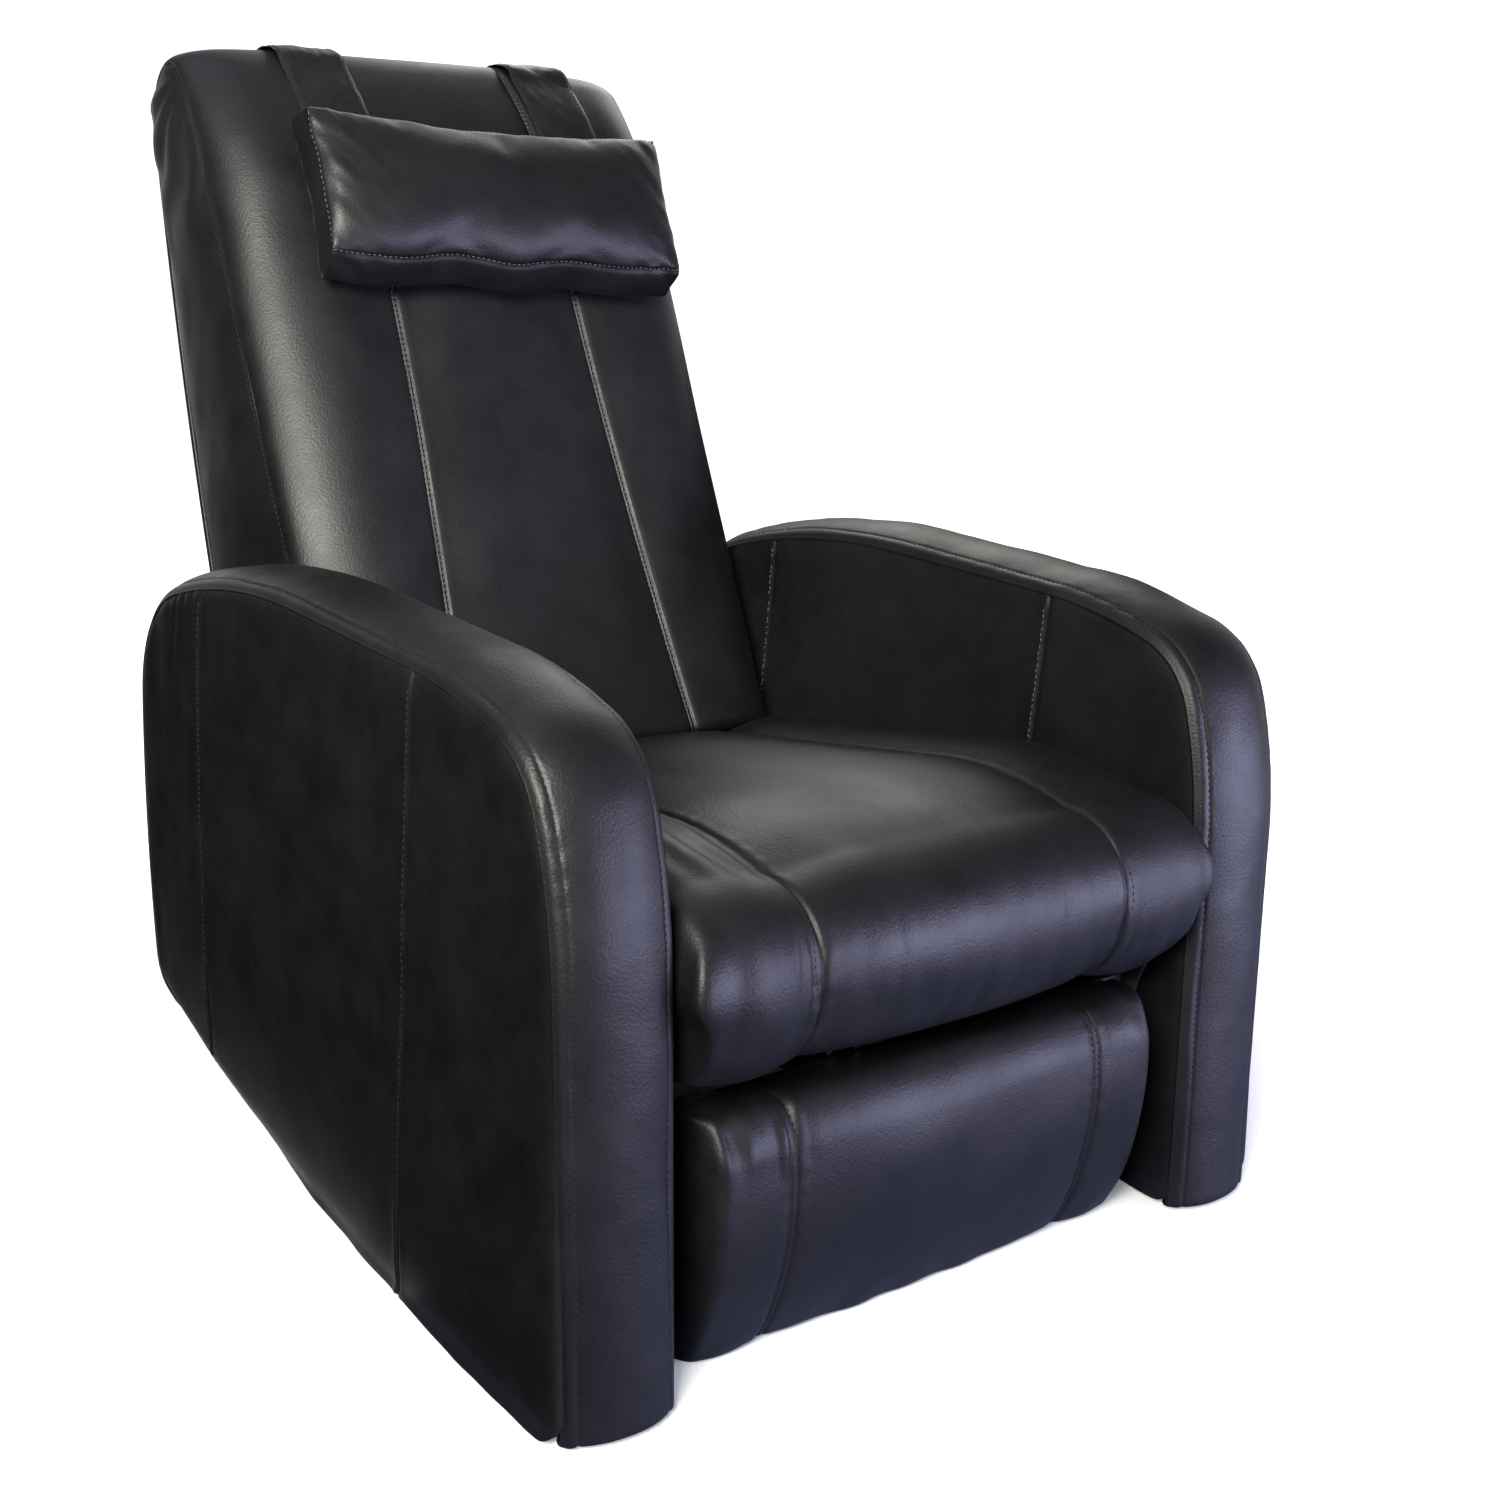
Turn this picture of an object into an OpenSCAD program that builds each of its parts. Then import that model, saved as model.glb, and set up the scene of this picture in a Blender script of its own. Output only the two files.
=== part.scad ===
/* [Arms] */
// Clear width between the two arms
seat_gap = 602; // [580:1:640]
// Width of an arm between its two long seams
arm_w = 109; // [100:1:125]
// How far the padded outer panel swells past its seam
panel_crown = 11; // [8:1:18]
// How far the band round the arm swells past its seams
band_crown = 17; // [8:1:24]
// Backward lean of the arm's front edge in degrees
arm_lean = 5.6; // [4:0.1:7]
// Height of the arm's underside above the floor
arm_base = 5; // [4:1:8]

/* [Seat] */
// Height of the seat deck at its front corner
deck_h = 325; // [315:1:330]
// Fall of the seat deck towards the back in degrees
deck_fall = 6.9; // [6:0.1:7.5]
// Distance of the two sewn channels from the middle of the seat
seat_seam = 176; // [150:1:195]
// Depth of the sewn channels
seam_depth = 6; // [3:0.5:8]

/* [Footrest] */
// Half of the footrest pad's width
foot_half = 270; // [255:1:274]
// Height of the footrest's lower edge above the floor
foot_base = 2; // [2:0.5:6]

/* [Backrest] */
// Backward lean of the backrest when upright in degrees
back_lean = 27; // [26:0.5:28]
// Half of the backrest's width
back_half = 280; // [275:1:284]
// Straight front length of the backrest below its curved head
back_front = 636; // [620:1:645]
// Thickness of the leather panels round the backrest
cover_t = 12; // [8:1:14]

/* [Pillow] */
// Width of the headrest pillow
pillow_w = 432; // [400:1:450]
// Height of the headrest pillow
pillow_h = 180; // [160:1:190]
// Thickness of the headrest pillow at its middle
pillow_t = 68; // [55:1:75]
// Width of a pillow strap
strap_w = 78; // [60:1:85]

/* [Massage mechanism] */
// Distance of the guide rods from the middle
rod_x = 165; // [155:1:170]
// Radius of the guide rods
rod_r = 8; // [7:0.5:9]
// Radius of the lead screw
screw_r = 8; // [7:0.5:9]
// Radius of a massage roller
roller_r = 22; // [18:1:22]
// Height of the parked carriage above the backrest's lower edge
carriage_u = 190; // [180:1:200]
// Radial running clearance of every turning or sliding fit
fit_gap = 0.05; // [0.02:0.01:0.08]

/* [Hidden] */
$fn = 48;

leather = "#202024";
timber = "#c69b62";
steel = "#3b3e42";
zinc = "#a9adb1";
plastic = "#2a2b2d";

// The side views below use y back from the arms' front seam and z up from the floor.
inner_x = seat_gap / 2;
outer_x = inner_x + arm_w;

// ---- Paths of straight runs and arcs -------------------------------------------------
// A run is [length, 0, steps] and an arc is [radius, turn, steps]. Headings are in degrees
// from +Z towards +Y, and a path's points are [y, z, heading].
function seg_points(p, seg, inset) =
    let (h = p[2], s = sign(seg[1]), r = seg[0] - s * inset, n = seg[2])
    s == 0
        ? [for (i = [1:n]) [p[0] + seg[0] * i / n * sin(h), p[1] + seg[0] * i / n * cos(h), h]]
        : [for (i = [1:n]) let (a = h + seg[1] * i / n)
            [p[0] + s * r * (cos(h) - cos(a)), p[1] - s * r * (sin(h) - sin(a)), a]];
function walk(p, segs, inset = 0, i = 0) =
    i == len(segs) ? [p]
        : let (pts = seg_points(p, segs[i], inset))
            concat([p], [for (k = [0:len(pts) - 2]) pts[k]],
                walk(pts[len(pts) - 1], segs, inset, i + 1));
function yz(path) = [for (p = path) [p[0], p[1]]];
function turned(v, a) = [v[0] * cos(a) + v[1] * sin(a), -v[0] * sin(a) + v[1] * cos(a)];

// ---- Solids from rows of points --------------------------------------------------------
function joined(rows) = [for (row = rows) each row];
function reversed(list) = [for (i = [len(list) - 1:-1:0]) list[i]];
// A closed skin over rings of points, with flat or domed ends
module skin(rings) {
    n = len(rings[0]);
    m = len(rings);
    sides = [for (i = [0:m - 2], j = [0:n - 1]) let (k = (j + 1) % n)
        each [[i * n + j, i * n + k, (i + 1) * n + k], [i * n + j, (i + 1) * n + k, (i + 1) * n + j]]];
    caps = [for (j = [0:n - 3]) each [[n - 1, j + 1, j],
        [m * n - 1, (m - 1) * n + j, (m - 1) * n + j + 1]]];
    polyhedron(joined(rings), concat(sides, caps));
}
// A pad between an outer and an inner grid of points that share their rows and columns
module quilt(outer, inner) {
    m = len(outer);
    n = len(outer[0]);
    all = m * n;
    function quad(a, b, c, d) = [[a, b, c], [a, c, d]];
    cells = [for (i = [0:m - 2], j = [0:n - 2])
        let (a = i * n + j, b = a + n)
        each concat(quad(a, b, b + 1, a + 1), quad(all + a, all + a + 1, all + b + 1, all + b))];
    ends = [for (j = [0:n - 2]) let (b = (m - 1) * n + j)
        each concat(quad(j, j + 1, all + j + 1, all + j), quad(b, all + b, all + b + 1, b + 1))];
    edges = [for (i = [0:m - 2]) let (a = i * n, b = a + n - 1)
        each concat(quad(a, all + a, all + a + n, a + n), quad(b, b + n, all + b + n, all + b))];
    polyhedron(concat(joined(outer), joined(inner)), concat(cells, ends, edges));
}

// ---- Placing ---------------------------------------------------------------------------
module chair() translate([0, -mid_y, 0]) children();
module both_sides() { children(); mirror([1, 0, 0]) children(); }
// Extrudes a side view drawn in y and z from x = a to x = b
module side_view(a, b) translate([a, 0, 0]) rotate([90, 0, 90]) linear_extrude(b - a) children();
module cross_pin(y, z, r, a, b) translate([a, y, z]) rotate([0, 90, 0]) cylinder(r = r, h = b - a);
module block(x, y, z) translate([x[0], y[0], z[0]]) cube([x[1] - x[0], y[1] - y[0], z[1] - z[0]]);

// ---- Arms ------------------------------------------------------------------------------
toe_r = 20;
toe_z = arm_base + toe_r;
toe_y = toe_z * tan(arm_lean) + toe_r / cos(arm_lean);
toe_run = toe_y * sin(arm_lean) + toe_z * cos(arm_lean);
// Front edge, three arcs over the front, the flat top, its fall to the rear and the rear edge
arm_upper = [[372 - toe_run, 0, 1], [478, 16, 3], [90, 52.7, 8], [508, 15.2, 3], [208, 0, 2],
    [895, 18.4, 4], [142, 68.4, 8], [1388, 12.2, 3]];
arm_start = [toe_y, arm_base, -90];
arm_toe = [toe_r, 90 + arm_lean, 5];
arm_corner = [45, 65, 5];
// The last arc runs out level at the underside, so its radius follows from its height
arm_heel = let (w = walk(arm_start, concat([arm_toe], arm_upper, [arm_corner])), e = w[len(w) - 1])
    [(e[1] - arm_base) / (1 + sin(e[2])), 270 - e[2], 5];
arm_path = concat([arm_toe], arm_upper, [arm_corner, arm_heel]);
arm_mid = [430, 290];
function arm_outline(inset) = walk([toe_y, arm_base + inset, -90], arm_path, inset);
function arm_ring(inset, x, k = 1) =
    [for (p = arm_outline(inset)) [x, arm_mid[0] + (p[0] - arm_mid[0]) * k,
        arm_mid[1] + (p[1] - arm_mid[1]) * k]];

pad_t = 14;        // foam and leather of a flat panel, and of the band at its seams
board_t = 15;      // plywood board
inner_board = inner_x + pad_t;
outer_board = outer_x - 10 - board_t;
bolt_y = [180, 420, 660];
bolt_z = 75;
bolt_r = 4;

module arm_board(x) side_view(x, x + board_t) polygon(yz(arm_outline(pad_t + 1)));
module arm_block(y, z, turn = 0)
    translate([inner_board + board_t, y, z]) rotate([turn, 0, 0])
        cube([outer_board - inner_board - board_t, 60, 40]);
module arm_frame() {
    difference() {
        union() {
            arm_board(inner_board);
            arm_board(outer_board);
            for (p = [[40, 20], [380, 22], [640, 58]]) arm_block(p[0], p[1]);
            for (y = [150, 390, 630]) arm_block(y, 490);
            arm_block(104, 250, 84);
            arm_block(820, 250, 90);
        }
        for (y = bolt_y) cross_pin(y, bolt_z, bolt_r, inner_board - 1, inner_board + board_t + 12);
    }
}
module arm_outer_panel()
    skin([arm_ring(pad_t + 1, outer_x - 10), arm_ring(pad_t + 1, outer_x), arm_ring(1, outer_x),
        arm_ring(4, outer_x + 0.45 * panel_crown), arm_ring(13, outer_x + 0.75 * panel_crown),
        arm_ring(19, outer_x + 0.93 * panel_crown, 0.86), arm_ring(19, outer_x + panel_crown, 0.5)]);
module arm_inner_panel()
    difference() {
        side_view(inner_x, inner_board) polygon(yz(arm_outline(pad_t + 1)));
        for (y = bolt_y) cross_pin(y, bolt_z, bolt_r, inner_x - 1, inner_board + 1);
    }
// The band's section: a crowned outer face between the seams and a flat inner face
band_steps = 6;
// Heading at which the band ends, behind the rear corner
band_end = 255;
function band_ring(p, crown, level) =
    let (mid = inner_x + arm_w / 2, n = level ? [-1, 0] : [-cos(p[2]), sin(p[2])])
    concat(
        [for (k = [0:band_steps]) let (t = 1 - 2 * k / band_steps, c = crown * (1 - pow(abs(t), 2.6)))
            [mid + t * arm_w / 2, p[0] + n[0] * c, p[1] + n[1] * c]],
        [[inner_x, p[0] - n[0] * pad_t, p[1] - n[1] * pad_t],
            [inner_x + arm_w, p[0] - n[0] * pad_t, p[1] - n[1] * pad_t]]);
module arm_band() {
    line = [for (p = arm_outline(0)) if (p[2] > 0 && p[2] < band_end) p];
    foot = [arm_base * tan(arm_lean), arm_base, arm_lean];
    skin(concat([band_ring(foot, band_crown, true)],
        [for (p = line) band_ring(p, band_crown * min(1, (band_end + 8 - p[2]) / 40), false)]));
}

module left_arm_frame() color(timber) chair() mirror([1, 0, 0]) arm_frame();
module right_arm_frame() color(timber) chair() arm_frame();
module left_arm_outer_panel() color(leather) chair() mirror([1, 0, 0]) arm_outer_panel();
module right_arm_outer_panel() color(leather) chair() arm_outer_panel();
module left_arm_inner_panel() color(leather) chair() mirror([1, 0, 0]) arm_inner_panel();
module right_arm_inner_panel() color(leather) chair() arm_inner_panel();
module left_arm_band() color(leather) chair() mirror([1, 0, 0]) arm_band();
module right_arm_band() color(leather) chair() arm_band();
// A low glide under each arm's front and a taller foot where its underside rises
module floor_glides() color(plastic) chair() both_sides()
    for (g = [[70, arm_base], [690, 43]]) translate([inner_board + 30, g[0], 0]) {
        cylinder(r = 20, h = g[1] + 2);
        cylinder(r = 12, h = g[1] + pad_t + 1);
    }

// ---- Base between the arms ---------------------------------------------------------------
rail_x = [inner_x - 25, inner_x];
rail_z = [50, 100];
cross_y = [260, 520, 764];
cross_z = [52, 92];
module base_side_rails() color(steel) chair() both_sides()
    difference() {
        block(rail_x, [110, 786], rail_z);
        block([rail_x[0] + 2, rail_x[1] - 2], [109, 787], [rail_z[0] + 2, rail_z[1] - 2]);
        for (y = bolt_y) cross_pin(y, bolt_z, bolt_r, rail_x[0] - 1, rail_x[1] + 1);
    }
module base_crossmembers() color(steel) chair()
    for (y = cross_y) difference() {
        block([-rail_x[0], rail_x[0]], [y - 20, y + 20], cross_z);
        block([-rail_x[0] - 1, rail_x[0] + 1], [y - 18, y + 18], [cross_z[0] + 2, cross_z[1] - 2]);
    }
module arm_bolts() color(zinc) chair() both_sides()
    for (y = bolt_y) {
        cross_pin(y, bolt_z, bolt_r, rail_x[0] - 1, inner_board + board_t + 6);
        translate([rail_x[0] - 6, y, bolt_z]) rotate([0, 90, 0]) cylinder(r = 7.5, h = 6, $fn = 6);
    }

// ---- Seat ----------------------------------------------------------------------------------
deck_front = 92;
function deck_z(y) = deck_h - (y - deck_front) * tan(deck_fall);
deck_rear = 598;
timber_x = [241, 271];
module deck_strip(y0, y1, depth)
    polygon([[y0, deck_z(y0) - 1], [y1, deck_z(y1) - 1], [y1, deck_z(y1) - depth],
        [y0, deck_z(y0) - depth]]);
module seat_uprights() color(steel) chair() both_sides()
    for (y = [196, 452]) side_view(timber_x[1], rail_x[0])
        polygon([[y, rail_z[0]], [y + 40, rail_z[0]], [y + 40, deck_z(y + 40) - 8], [y, deck_z(y) - 8]]);
module seat_side_rails() color(timber) chair() both_sides()
    side_view(timber_x[0], timber_x[1]) deck_strip(105, 572, 46);
module seat_front_rail() color(timber) chair()
    side_view(-timber_x[1], timber_x[1])
        polygon([[77, 272], [105, 272], [105, deck_z(105) - 1], [91, deck_h - 1], [81, deck_h - 8],
            [77, deck_h - 20]]);
module seat_rear_rail() color(timber) chair()
    side_view(-timber_x[1], timber_x[1]) deck_strip(572, 594, 46);
// Sinuous springs: a flat meander of wire from the front rail to the rear rail
spring_wire = 4;
spring_half = 22;
spring_pitch = 22;
spring_turns = 21;
function meander(edge) = joined([for (i = [0:spring_turns])
    let (s = i % 2 == 0 ? 1 : -1, y = i * spring_pitch + s * edge)
    [[-s * spring_half - edge, y], [s * spring_half - edge, y]]]);
module sinuous_spring() {
    one = meander(-spring_wire / 2);
    two = meander(spring_wire / 2);
    linear_extrude(spring_wire) polygon(concat(one, reversed(two)));
}
module seat_springs() color(zinc) chair()
    for (x = [-180, -90, 0, 90, 180])
        translate([x, 108, deck_z(108) - 2 * spring_wire]) rotate([-deck_fall, 0, 0]) sinuous_spring();

// The cushion's upper face in side view: the sloping top, the waterfall front and its tuck.
// Its lower face lies on the deck and turns down round the front rail.
seat_steps = [3, 3, 5, 4];
seat_rear_z = 352;
seat_nose = 17;
seat_tuck_z = 268;
seat_top = walk([deck_rear, seat_rear_z, -79.1],
    [[351, 0, seat_steps[0]], [391, -25, seat_steps[1]], [79, -59, seat_steps[2]],
        [108, -54, seat_steps[3]]]);
seat_under = walk([deck_rear, deck_z(deck_rear), -90 + deck_fall],
    [[351, 0, seat_steps[0]], [155, 0, seat_steps[1]], [seat_nose, -90 - deck_fall, seat_steps[2]],
        [deck_h - seat_nose - seat_tuck_z, 0, seat_steps[3]]]);
seat_half = inner_x - 2;
seat_low_half = 283;
seat_round = 34;
middle_swell = 8;
lobe_swell = 12;
front_swell = 17;
// Share of the middle's and the lobes' own swell that the leather loses where it is stretched
// over the front
middle_stretch = 0.25;
lobe_stretch = 0.5;
seat_x = let (half = [0, 45, 90, 130, 160, seat_seam - 5, seat_seam, seat_seam + 5, 195, 220, 245,
    265, 280, 290, 296, seat_half])
    concat([for (i = [len(half) - 1:-1:1]) -half[i]], half);
// Swell between the channels: a low dome in the middle and a fuller lobe at each side, which even
// out where the whole cushion bulges over its front
seat_nose_heading = -104;
seat_nose_turn = 113;
channel_half = 9;
function seat_bulge(h) = sin(180 * min(1, max(0, (seat_nose_heading - h) / seat_nose_turn)));
function seat_swell(x, h) = let (t = abs(x), b = seat_bulge(h))
    front_swell * b - seam_depth * exp(-pow((t - seat_seam) / channel_half, 2))
    + (t < seat_seam ? middle_swell * (1 - middle_stretch * b) * (1 - pow(t / seat_seam, 4))
        : lobe_swell * (1 - lobe_stretch * b) * sin(180 * (t - seat_seam) / (seat_half - seat_seam)));
function seat_edge(x) = let (t = max(0, (abs(x) - seat_half + seat_round) / seat_round))
    0.45 + 0.55 * sqrt(max(0, 1 - t * t));
// The sides draw in low down, where the footrest's hinges lie beside the cushion
function seat_narrow(x, z) =
    x * (1 - (1 - seat_low_half / seat_half) * min(1, max(0, (348 - z) / 24)));
function seat_outer(x, j) =
    let (o = seat_top[j], u = seat_under[j], k = seat_edge(x), s = seat_swell(x, o[2]) * k,
        y = u[0] + (o[0] - u[0]) * k + cos(o[2]) * s, z = u[1] + (o[1] - u[1]) * k - sin(o[2]) * s)
    [seat_narrow(x, z), min(y, deck_rear - 2), z];
module seat_cushion() color(leather) chair()
    quilt([for (x = seat_x) [for (j = [0:len(seat_top) - 1]) seat_outer(x, j)]],
        [for (x = seat_x) [for (p = seat_under) [seat_narrow(x, 0), min(p[0], deck_rear - 2), p[1]]]]);

// ---- Power supply ------------------------------------------------------------------------
box_x = [-214, -94];
box_y = [505, 795];
box_z = [92, 142];
inlet_x = -190;
switch_x = -140;
port_z = 117;
module control_box() color(plastic) chair()
    difference() {
        block(box_x, box_y, box_z);
        block([box_x[0] + 3, box_x[1] - 3], [box_y[0] + 3, box_y[1] - 3], [box_z[0] + 3, box_z[1] - 3]);
        block([inlet_x - 14, inlet_x + 14], [box_y[1] - 4, box_y[1] + 1], [port_z - 10, port_z + 10]);
        block([switch_x - 11, switch_x + 11], [box_y[1] - 4, box_y[1] + 1], [port_z - 7, port_z + 7]);
        for (i = [0:9]) block([box_x[0] - 1, box_x[0] + 4], [560 + 16 * i, 566 + 16 * i], [105, 130]);
    }
module mains_inlet() color(plastic) chair()
    difference() {
        union() {
            block([inlet_x - 14, inlet_x + 14], [box_y[1] - 22, box_y[1]], [port_z - 10, port_z + 10]);
            block([inlet_x - 18, inlet_x + 18], [box_y[1], box_y[1] + 3], [port_z - 14, port_z + 14]);
            block([switch_x - 11, switch_x + 11], [box_y[1] - 14, box_y[1]], [port_z - 7, port_z + 7]);
            block([switch_x - 14, switch_x + 14], [box_y[1], box_y[1] + 3], [port_z - 10, port_z + 10]);
            block([inlet_x + 10, switch_x - 10], [box_y[1] - 14, box_y[1] - 10], [port_z - 5, port_z + 5]);
        }
        block([inlet_x - 12, inlet_x + 12], [box_y[1] - 18, box_y[1] + 4], [port_z - 8, port_z + 8]);
        block([switch_x - 8.5, switch_x + 8.5], [box_y[1] - 11, box_y[1] + 4],
            [port_z - 6.2, port_z + 6.2]);
        cross_pin(box_y[1] - 1, port_z, rocker_pin + fit_gap, switch_x - 10, switch_x + 10);
    }
// The rocker turns on its own cross pin in the middle of the bezel
rocker_pin = 1.2;
module power_switch() color("#151515") chair() {
    translate([switch_x - 8, box_y[1] - 1, port_z]) rotate([90, 0, 90]) linear_extrude(16)
        polygon([[-4, -2.5], [-4, 2.5], [2.6, 4.8], [4.2, 4.6], [3, 0], [4.2, -4.6], [2.6, -4.8]]);
    cross_pin(box_y[1] - 1, port_z, rocker_pin, switch_x - 9.8, switch_x + 9.8);
}

// ---- Footrest ------------------------------------------------------------------------------
foot_axis = [60, 300];
hanger_x = [inner_x - 10.5, inner_x - 5.5];
board_y = [75, 90];
module footrest_hinge_plates() color(steel) chair() both_sides() {
    side_view(inner_x - 4, inner_x) hull() {
        translate([58, 300]) circle(r = 14);
        translate([98, 286]) circle(r = 12);
        translate([98, 316]) circle(r = 12);
    }
    cross_pin(foot_axis[0], foot_axis[1], 6, hanger_x[0] - 1.5, inner_x - 2);
    cross_pin(foot_axis[0], foot_axis[1], 9, hanger_x[0] - 4, hanger_x[0] - 1);
}
module footrest_hangers() color(steel) chair() both_sides() {
    difference() {
        side_view(hanger_x[0], hanger_x[1]) union() {
            hull() { translate(foot_axis) circle(r = 13); translate([84, 225]) circle(r = 11); }
            polygon([[73, 225], [95, 225], [95, 110], [85, 110]]);
        }
        cross_pin(foot_axis[0], foot_axis[1], 6 + fit_gap, hanger_x[0] - 1, hanger_x[1] + 1);
    }
    block([225, hanger_x[1]], [board_y[1], board_y[1] + 5], [110, 225]);
}
module footrest_board() color(timber) chair() block([-258, 258], board_y, [18, 226]);
foot_front = walk([50, foot_base, -90], [[14, 66, 3], [318, 34, 4], [60, 35, 3], [18, 45, 2]]);
foot_x = let (half = [0, 50, 100, 140, 172, 180, 188, 215, 238, 254, 264, foot_half])
    concat([for (i = [len(half) - 1:-1:1]) -half[i]], half);
foot_round = 34;
foot_seam = 180;
foot_swell = 4;
function foot_edge(x) = let (t = max(0, (abs(x) - foot_half + foot_round) / foot_round))
    0.2 + 0.8 * sqrt(max(0, 1 - t * t));
function foot_outer(x, p) =
    let (s = foot_swell * (1 - pow(min(1, abs(x) / foot_seam), 4))
            - foot_swell * exp(-pow((abs(x) - foot_seam) / 8, 2)), y = p[0] - cos(p[2]) * s)
    [x, board_y[0] - (board_y[0] - y) * foot_edge(x), max(foot_base, p[1] + sin(p[2]) * s)];
module footrest_pad() color(leather) chair()
    quilt([for (x = reversed(foot_x)) [for (p = foot_front) foot_outer(x, p)]],
        [for (x = reversed(foot_x)) [for (p = foot_front) [x, board_y[0] - 0.2, p[1]]]]);

// ---- Actuators -------------------------------------------------------------------------------
// Each has a body that swings on a pin in its bracket and a rod that slides out of the body.
// The rod's cross pin works in slots, which take up the arc of the lever.
leg_x = -70;
leg_pivot = [520, 150];
leg_pin = [120, 210];
back_x = 70;
recline_axis = [700, 300];
back_pivot = [260, 120];
back_pin = [760, 200];
pin_r = 5;
rod_rad = 9;
eye_w = 10;
function aim(a, b) = atan2(b[1] - a[1], b[0] - a[0]);
// Puts an actuator drawn along +Y from its pivot at the origin into the side view
module along(x, a, b) translate([x, a[0], a[1]]) rotate([aim(a, b), 0, 0]) children();
module actuator_body(len) {
    difference() {
        union() {
            rotate([0, 90, 0]) translate([0, 0, -eye_w]) cylinder(r = 13, h = 2 * eye_w);
            block([-eye_w, eye_w], [0, 40], [-9, 9]);
            block([-22, 22], [30, 92], [-24, 24]);
            translate([0, 90, 0]) rotate([-90, 0, 0]) cylinder(r = 18, h = len - 90);
            translate([0, 60, -40]) rotate([-90, 0, 0]) cylinder(r = 19, h = 110);
            block([-16, 16], [38, 84], [-44, -20]);
        }
        cross_pin(0, 0, pin_r + fit_gap, -eye_w - 1, eye_w + 1);
        translate([0, 100, 0]) rotate([-90, 0, 0]) cylinder(r = rod_rad + fit_gap, h = len);
    }
}
module actuator_rod(from, reach) {
    translate([0, from, 0]) rotate([-90, 0, 0]) cylinder(r = rod_rad, h = reach - from - 6);
    translate([-eye_w, reach, 0]) rotate([0, 90, 0]) cylinder(r = 12, h = 2 * eye_w);
    cross_pin(reach, 0, pin_r, -23, 23);
    for (s = [-1, 1])
        translate([s * 22, reach, 0]) rotate([0, 90, 0]) cylinder(r = 13, h = 2, center = true);
}
module actuator_bracket(x, pivot, foot_y) {
    for (s = [-1, 1]) side_view(x + s * 14 - 3, x + s * 14 + 3) hull() {
        translate(pivot) circle(r = 12);
        translate([foot_y - 14, cross_z[1]]) square([28, 2]);
    }
    block([x - 17, x + 17], [foot_y - 18, foot_y + 18], [cross_z[1], cross_z[1] + 4]);
    cross_pin(pivot[0], pivot[1], pin_r, x - 20, x + 20);
}
module leg_actuator_bracket() color(steel) chair() actuator_bracket(leg_x, leg_pivot, cross_y[1]);
module back_actuator_bracket() color(steel) chair() actuator_bracket(back_x, back_pivot, cross_y[0]);
leg_reach = norm(leg_pin - leg_pivot);
back_reach = norm(back_pin - back_pivot);
module leg_actuator_body() color(plastic) chair()
    along(leg_x, leg_pivot, leg_pin) actuator_body(290);
module leg_actuator_rod() color(zinc) chair()
    along(leg_x, leg_pivot, leg_pin) actuator_rod(110, leg_reach);
module back_actuator_body() color(plastic) chair()
    along(back_x, back_pivot, back_pin) actuator_body(390);
module back_actuator_rod() color(zinc) chair()
    along(back_x, back_pivot, back_pin) actuator_rod(200, back_reach);

// A long hole in a lever's side view: middle, direction, play along it and across it
module slot(mid, angle, along, across) translate(mid) rotate(angle) hull()
    for (s = [-1, 1]) translate([s * along / 2, 0]) circle(r = pin_r + across / 2 + 0.6);
module footrest_lever() color(steel) chair() {
    for (s = [-1, 1]) side_view(leg_x + s * 15.5 - 2.5, leg_x + s * 15.5 + 2.5) difference() {
        hull() {
            translate([board_y[1] + 1, 150]) square([2, 90]);
            translate([leg_pin[0] + 2, leg_pin[1] - 2]) circle(r = 20);
            translate([leg_pin[0] - 8, leg_pin[1] + 26]) circle(r = 18);
        }
        slot(foot_axis + [55.4, -78.5], -54.9, 26, 6.2);
    }
    block([leg_x - 30, leg_x + 30], [board_y[1], board_y[1] + 4], [145, 225]);
}

// ---- Backrest --------------------------------------------------------------------------------
// Drawn in its own axes: y square to its front face, z up along it, from its lower front edge
back_foot = [594, 330];
module on_back() chair() translate([0, back_foot[0], back_foot[1]]) rotate([-back_lean, 0, 0]) children();
function to_back(p) = turned(p - back_foot, -back_lean);
head_front = [331, 27.8, 4];
head_top = [64.5, 141.8, 12];
back_start = [0, 20, 0];
back_wrap = walk(back_start, [[back_front, 0, 5], head_front, head_top]);
back_last = back_wrap[len(back_wrap) - 1];
rear_run = 726;
rear_line = seg_points(back_last, [rear_run, 0, 1], 0)[0];
function inward(p, d) = [p[0] + cos(p[2]) * d, p[1] - sin(p[2]) * d];
// Depth of the front pad at the side seam, against the heading: it thins over the head
pad_depths = [[5, 48], [17.6, 36], [27.8, 24], [70, 14], [180, 13]];
function pad_depth(p) = lookup(p[2], pad_depths);
// Fall of the front face towards the side seams, over a width that narrows towards the top
function side_fall(x, p) =
    let (a = 110 - 55 * min(1, max(0, (p[1] - 300) / 450)), t = max(0, (abs(x) - back_half + a) / a))
    (pad_depth(p) - 3) * (1 - sqrt(max(0, 1 - t * t)));
function back_seam(z) = 115 + 34 * pow(max(0, 1 - z / 560), 1.6);
// Columns as shares of the seam's distance from the middle, and then on to the side seam
back_cols = [0, 0.3, 0.6, 0.85, 0.96, 1, 1.04];
side_cols = 7;
function back_col(i, p) = let (m = len(back_cols), s = back_seam(p[1]), t = (i - m + 1) / side_cols)
    i < m ? s * back_cols[i] : back_cols[m - 1] * s + (back_half - back_cols[m - 1] * s) * sin(90 * t);
function back_groove(x, p) = let (t = (abs(x) - back_seam(p[1])) / 7)
    4.5 * exp(-t * t) * min(1, max(0, (60 - p[2]) / 30));
function back_point(x, p) = let (q = inward(p, side_fall(x, p) + back_groove(x, p))) [x, q[0], q[1]];
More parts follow.
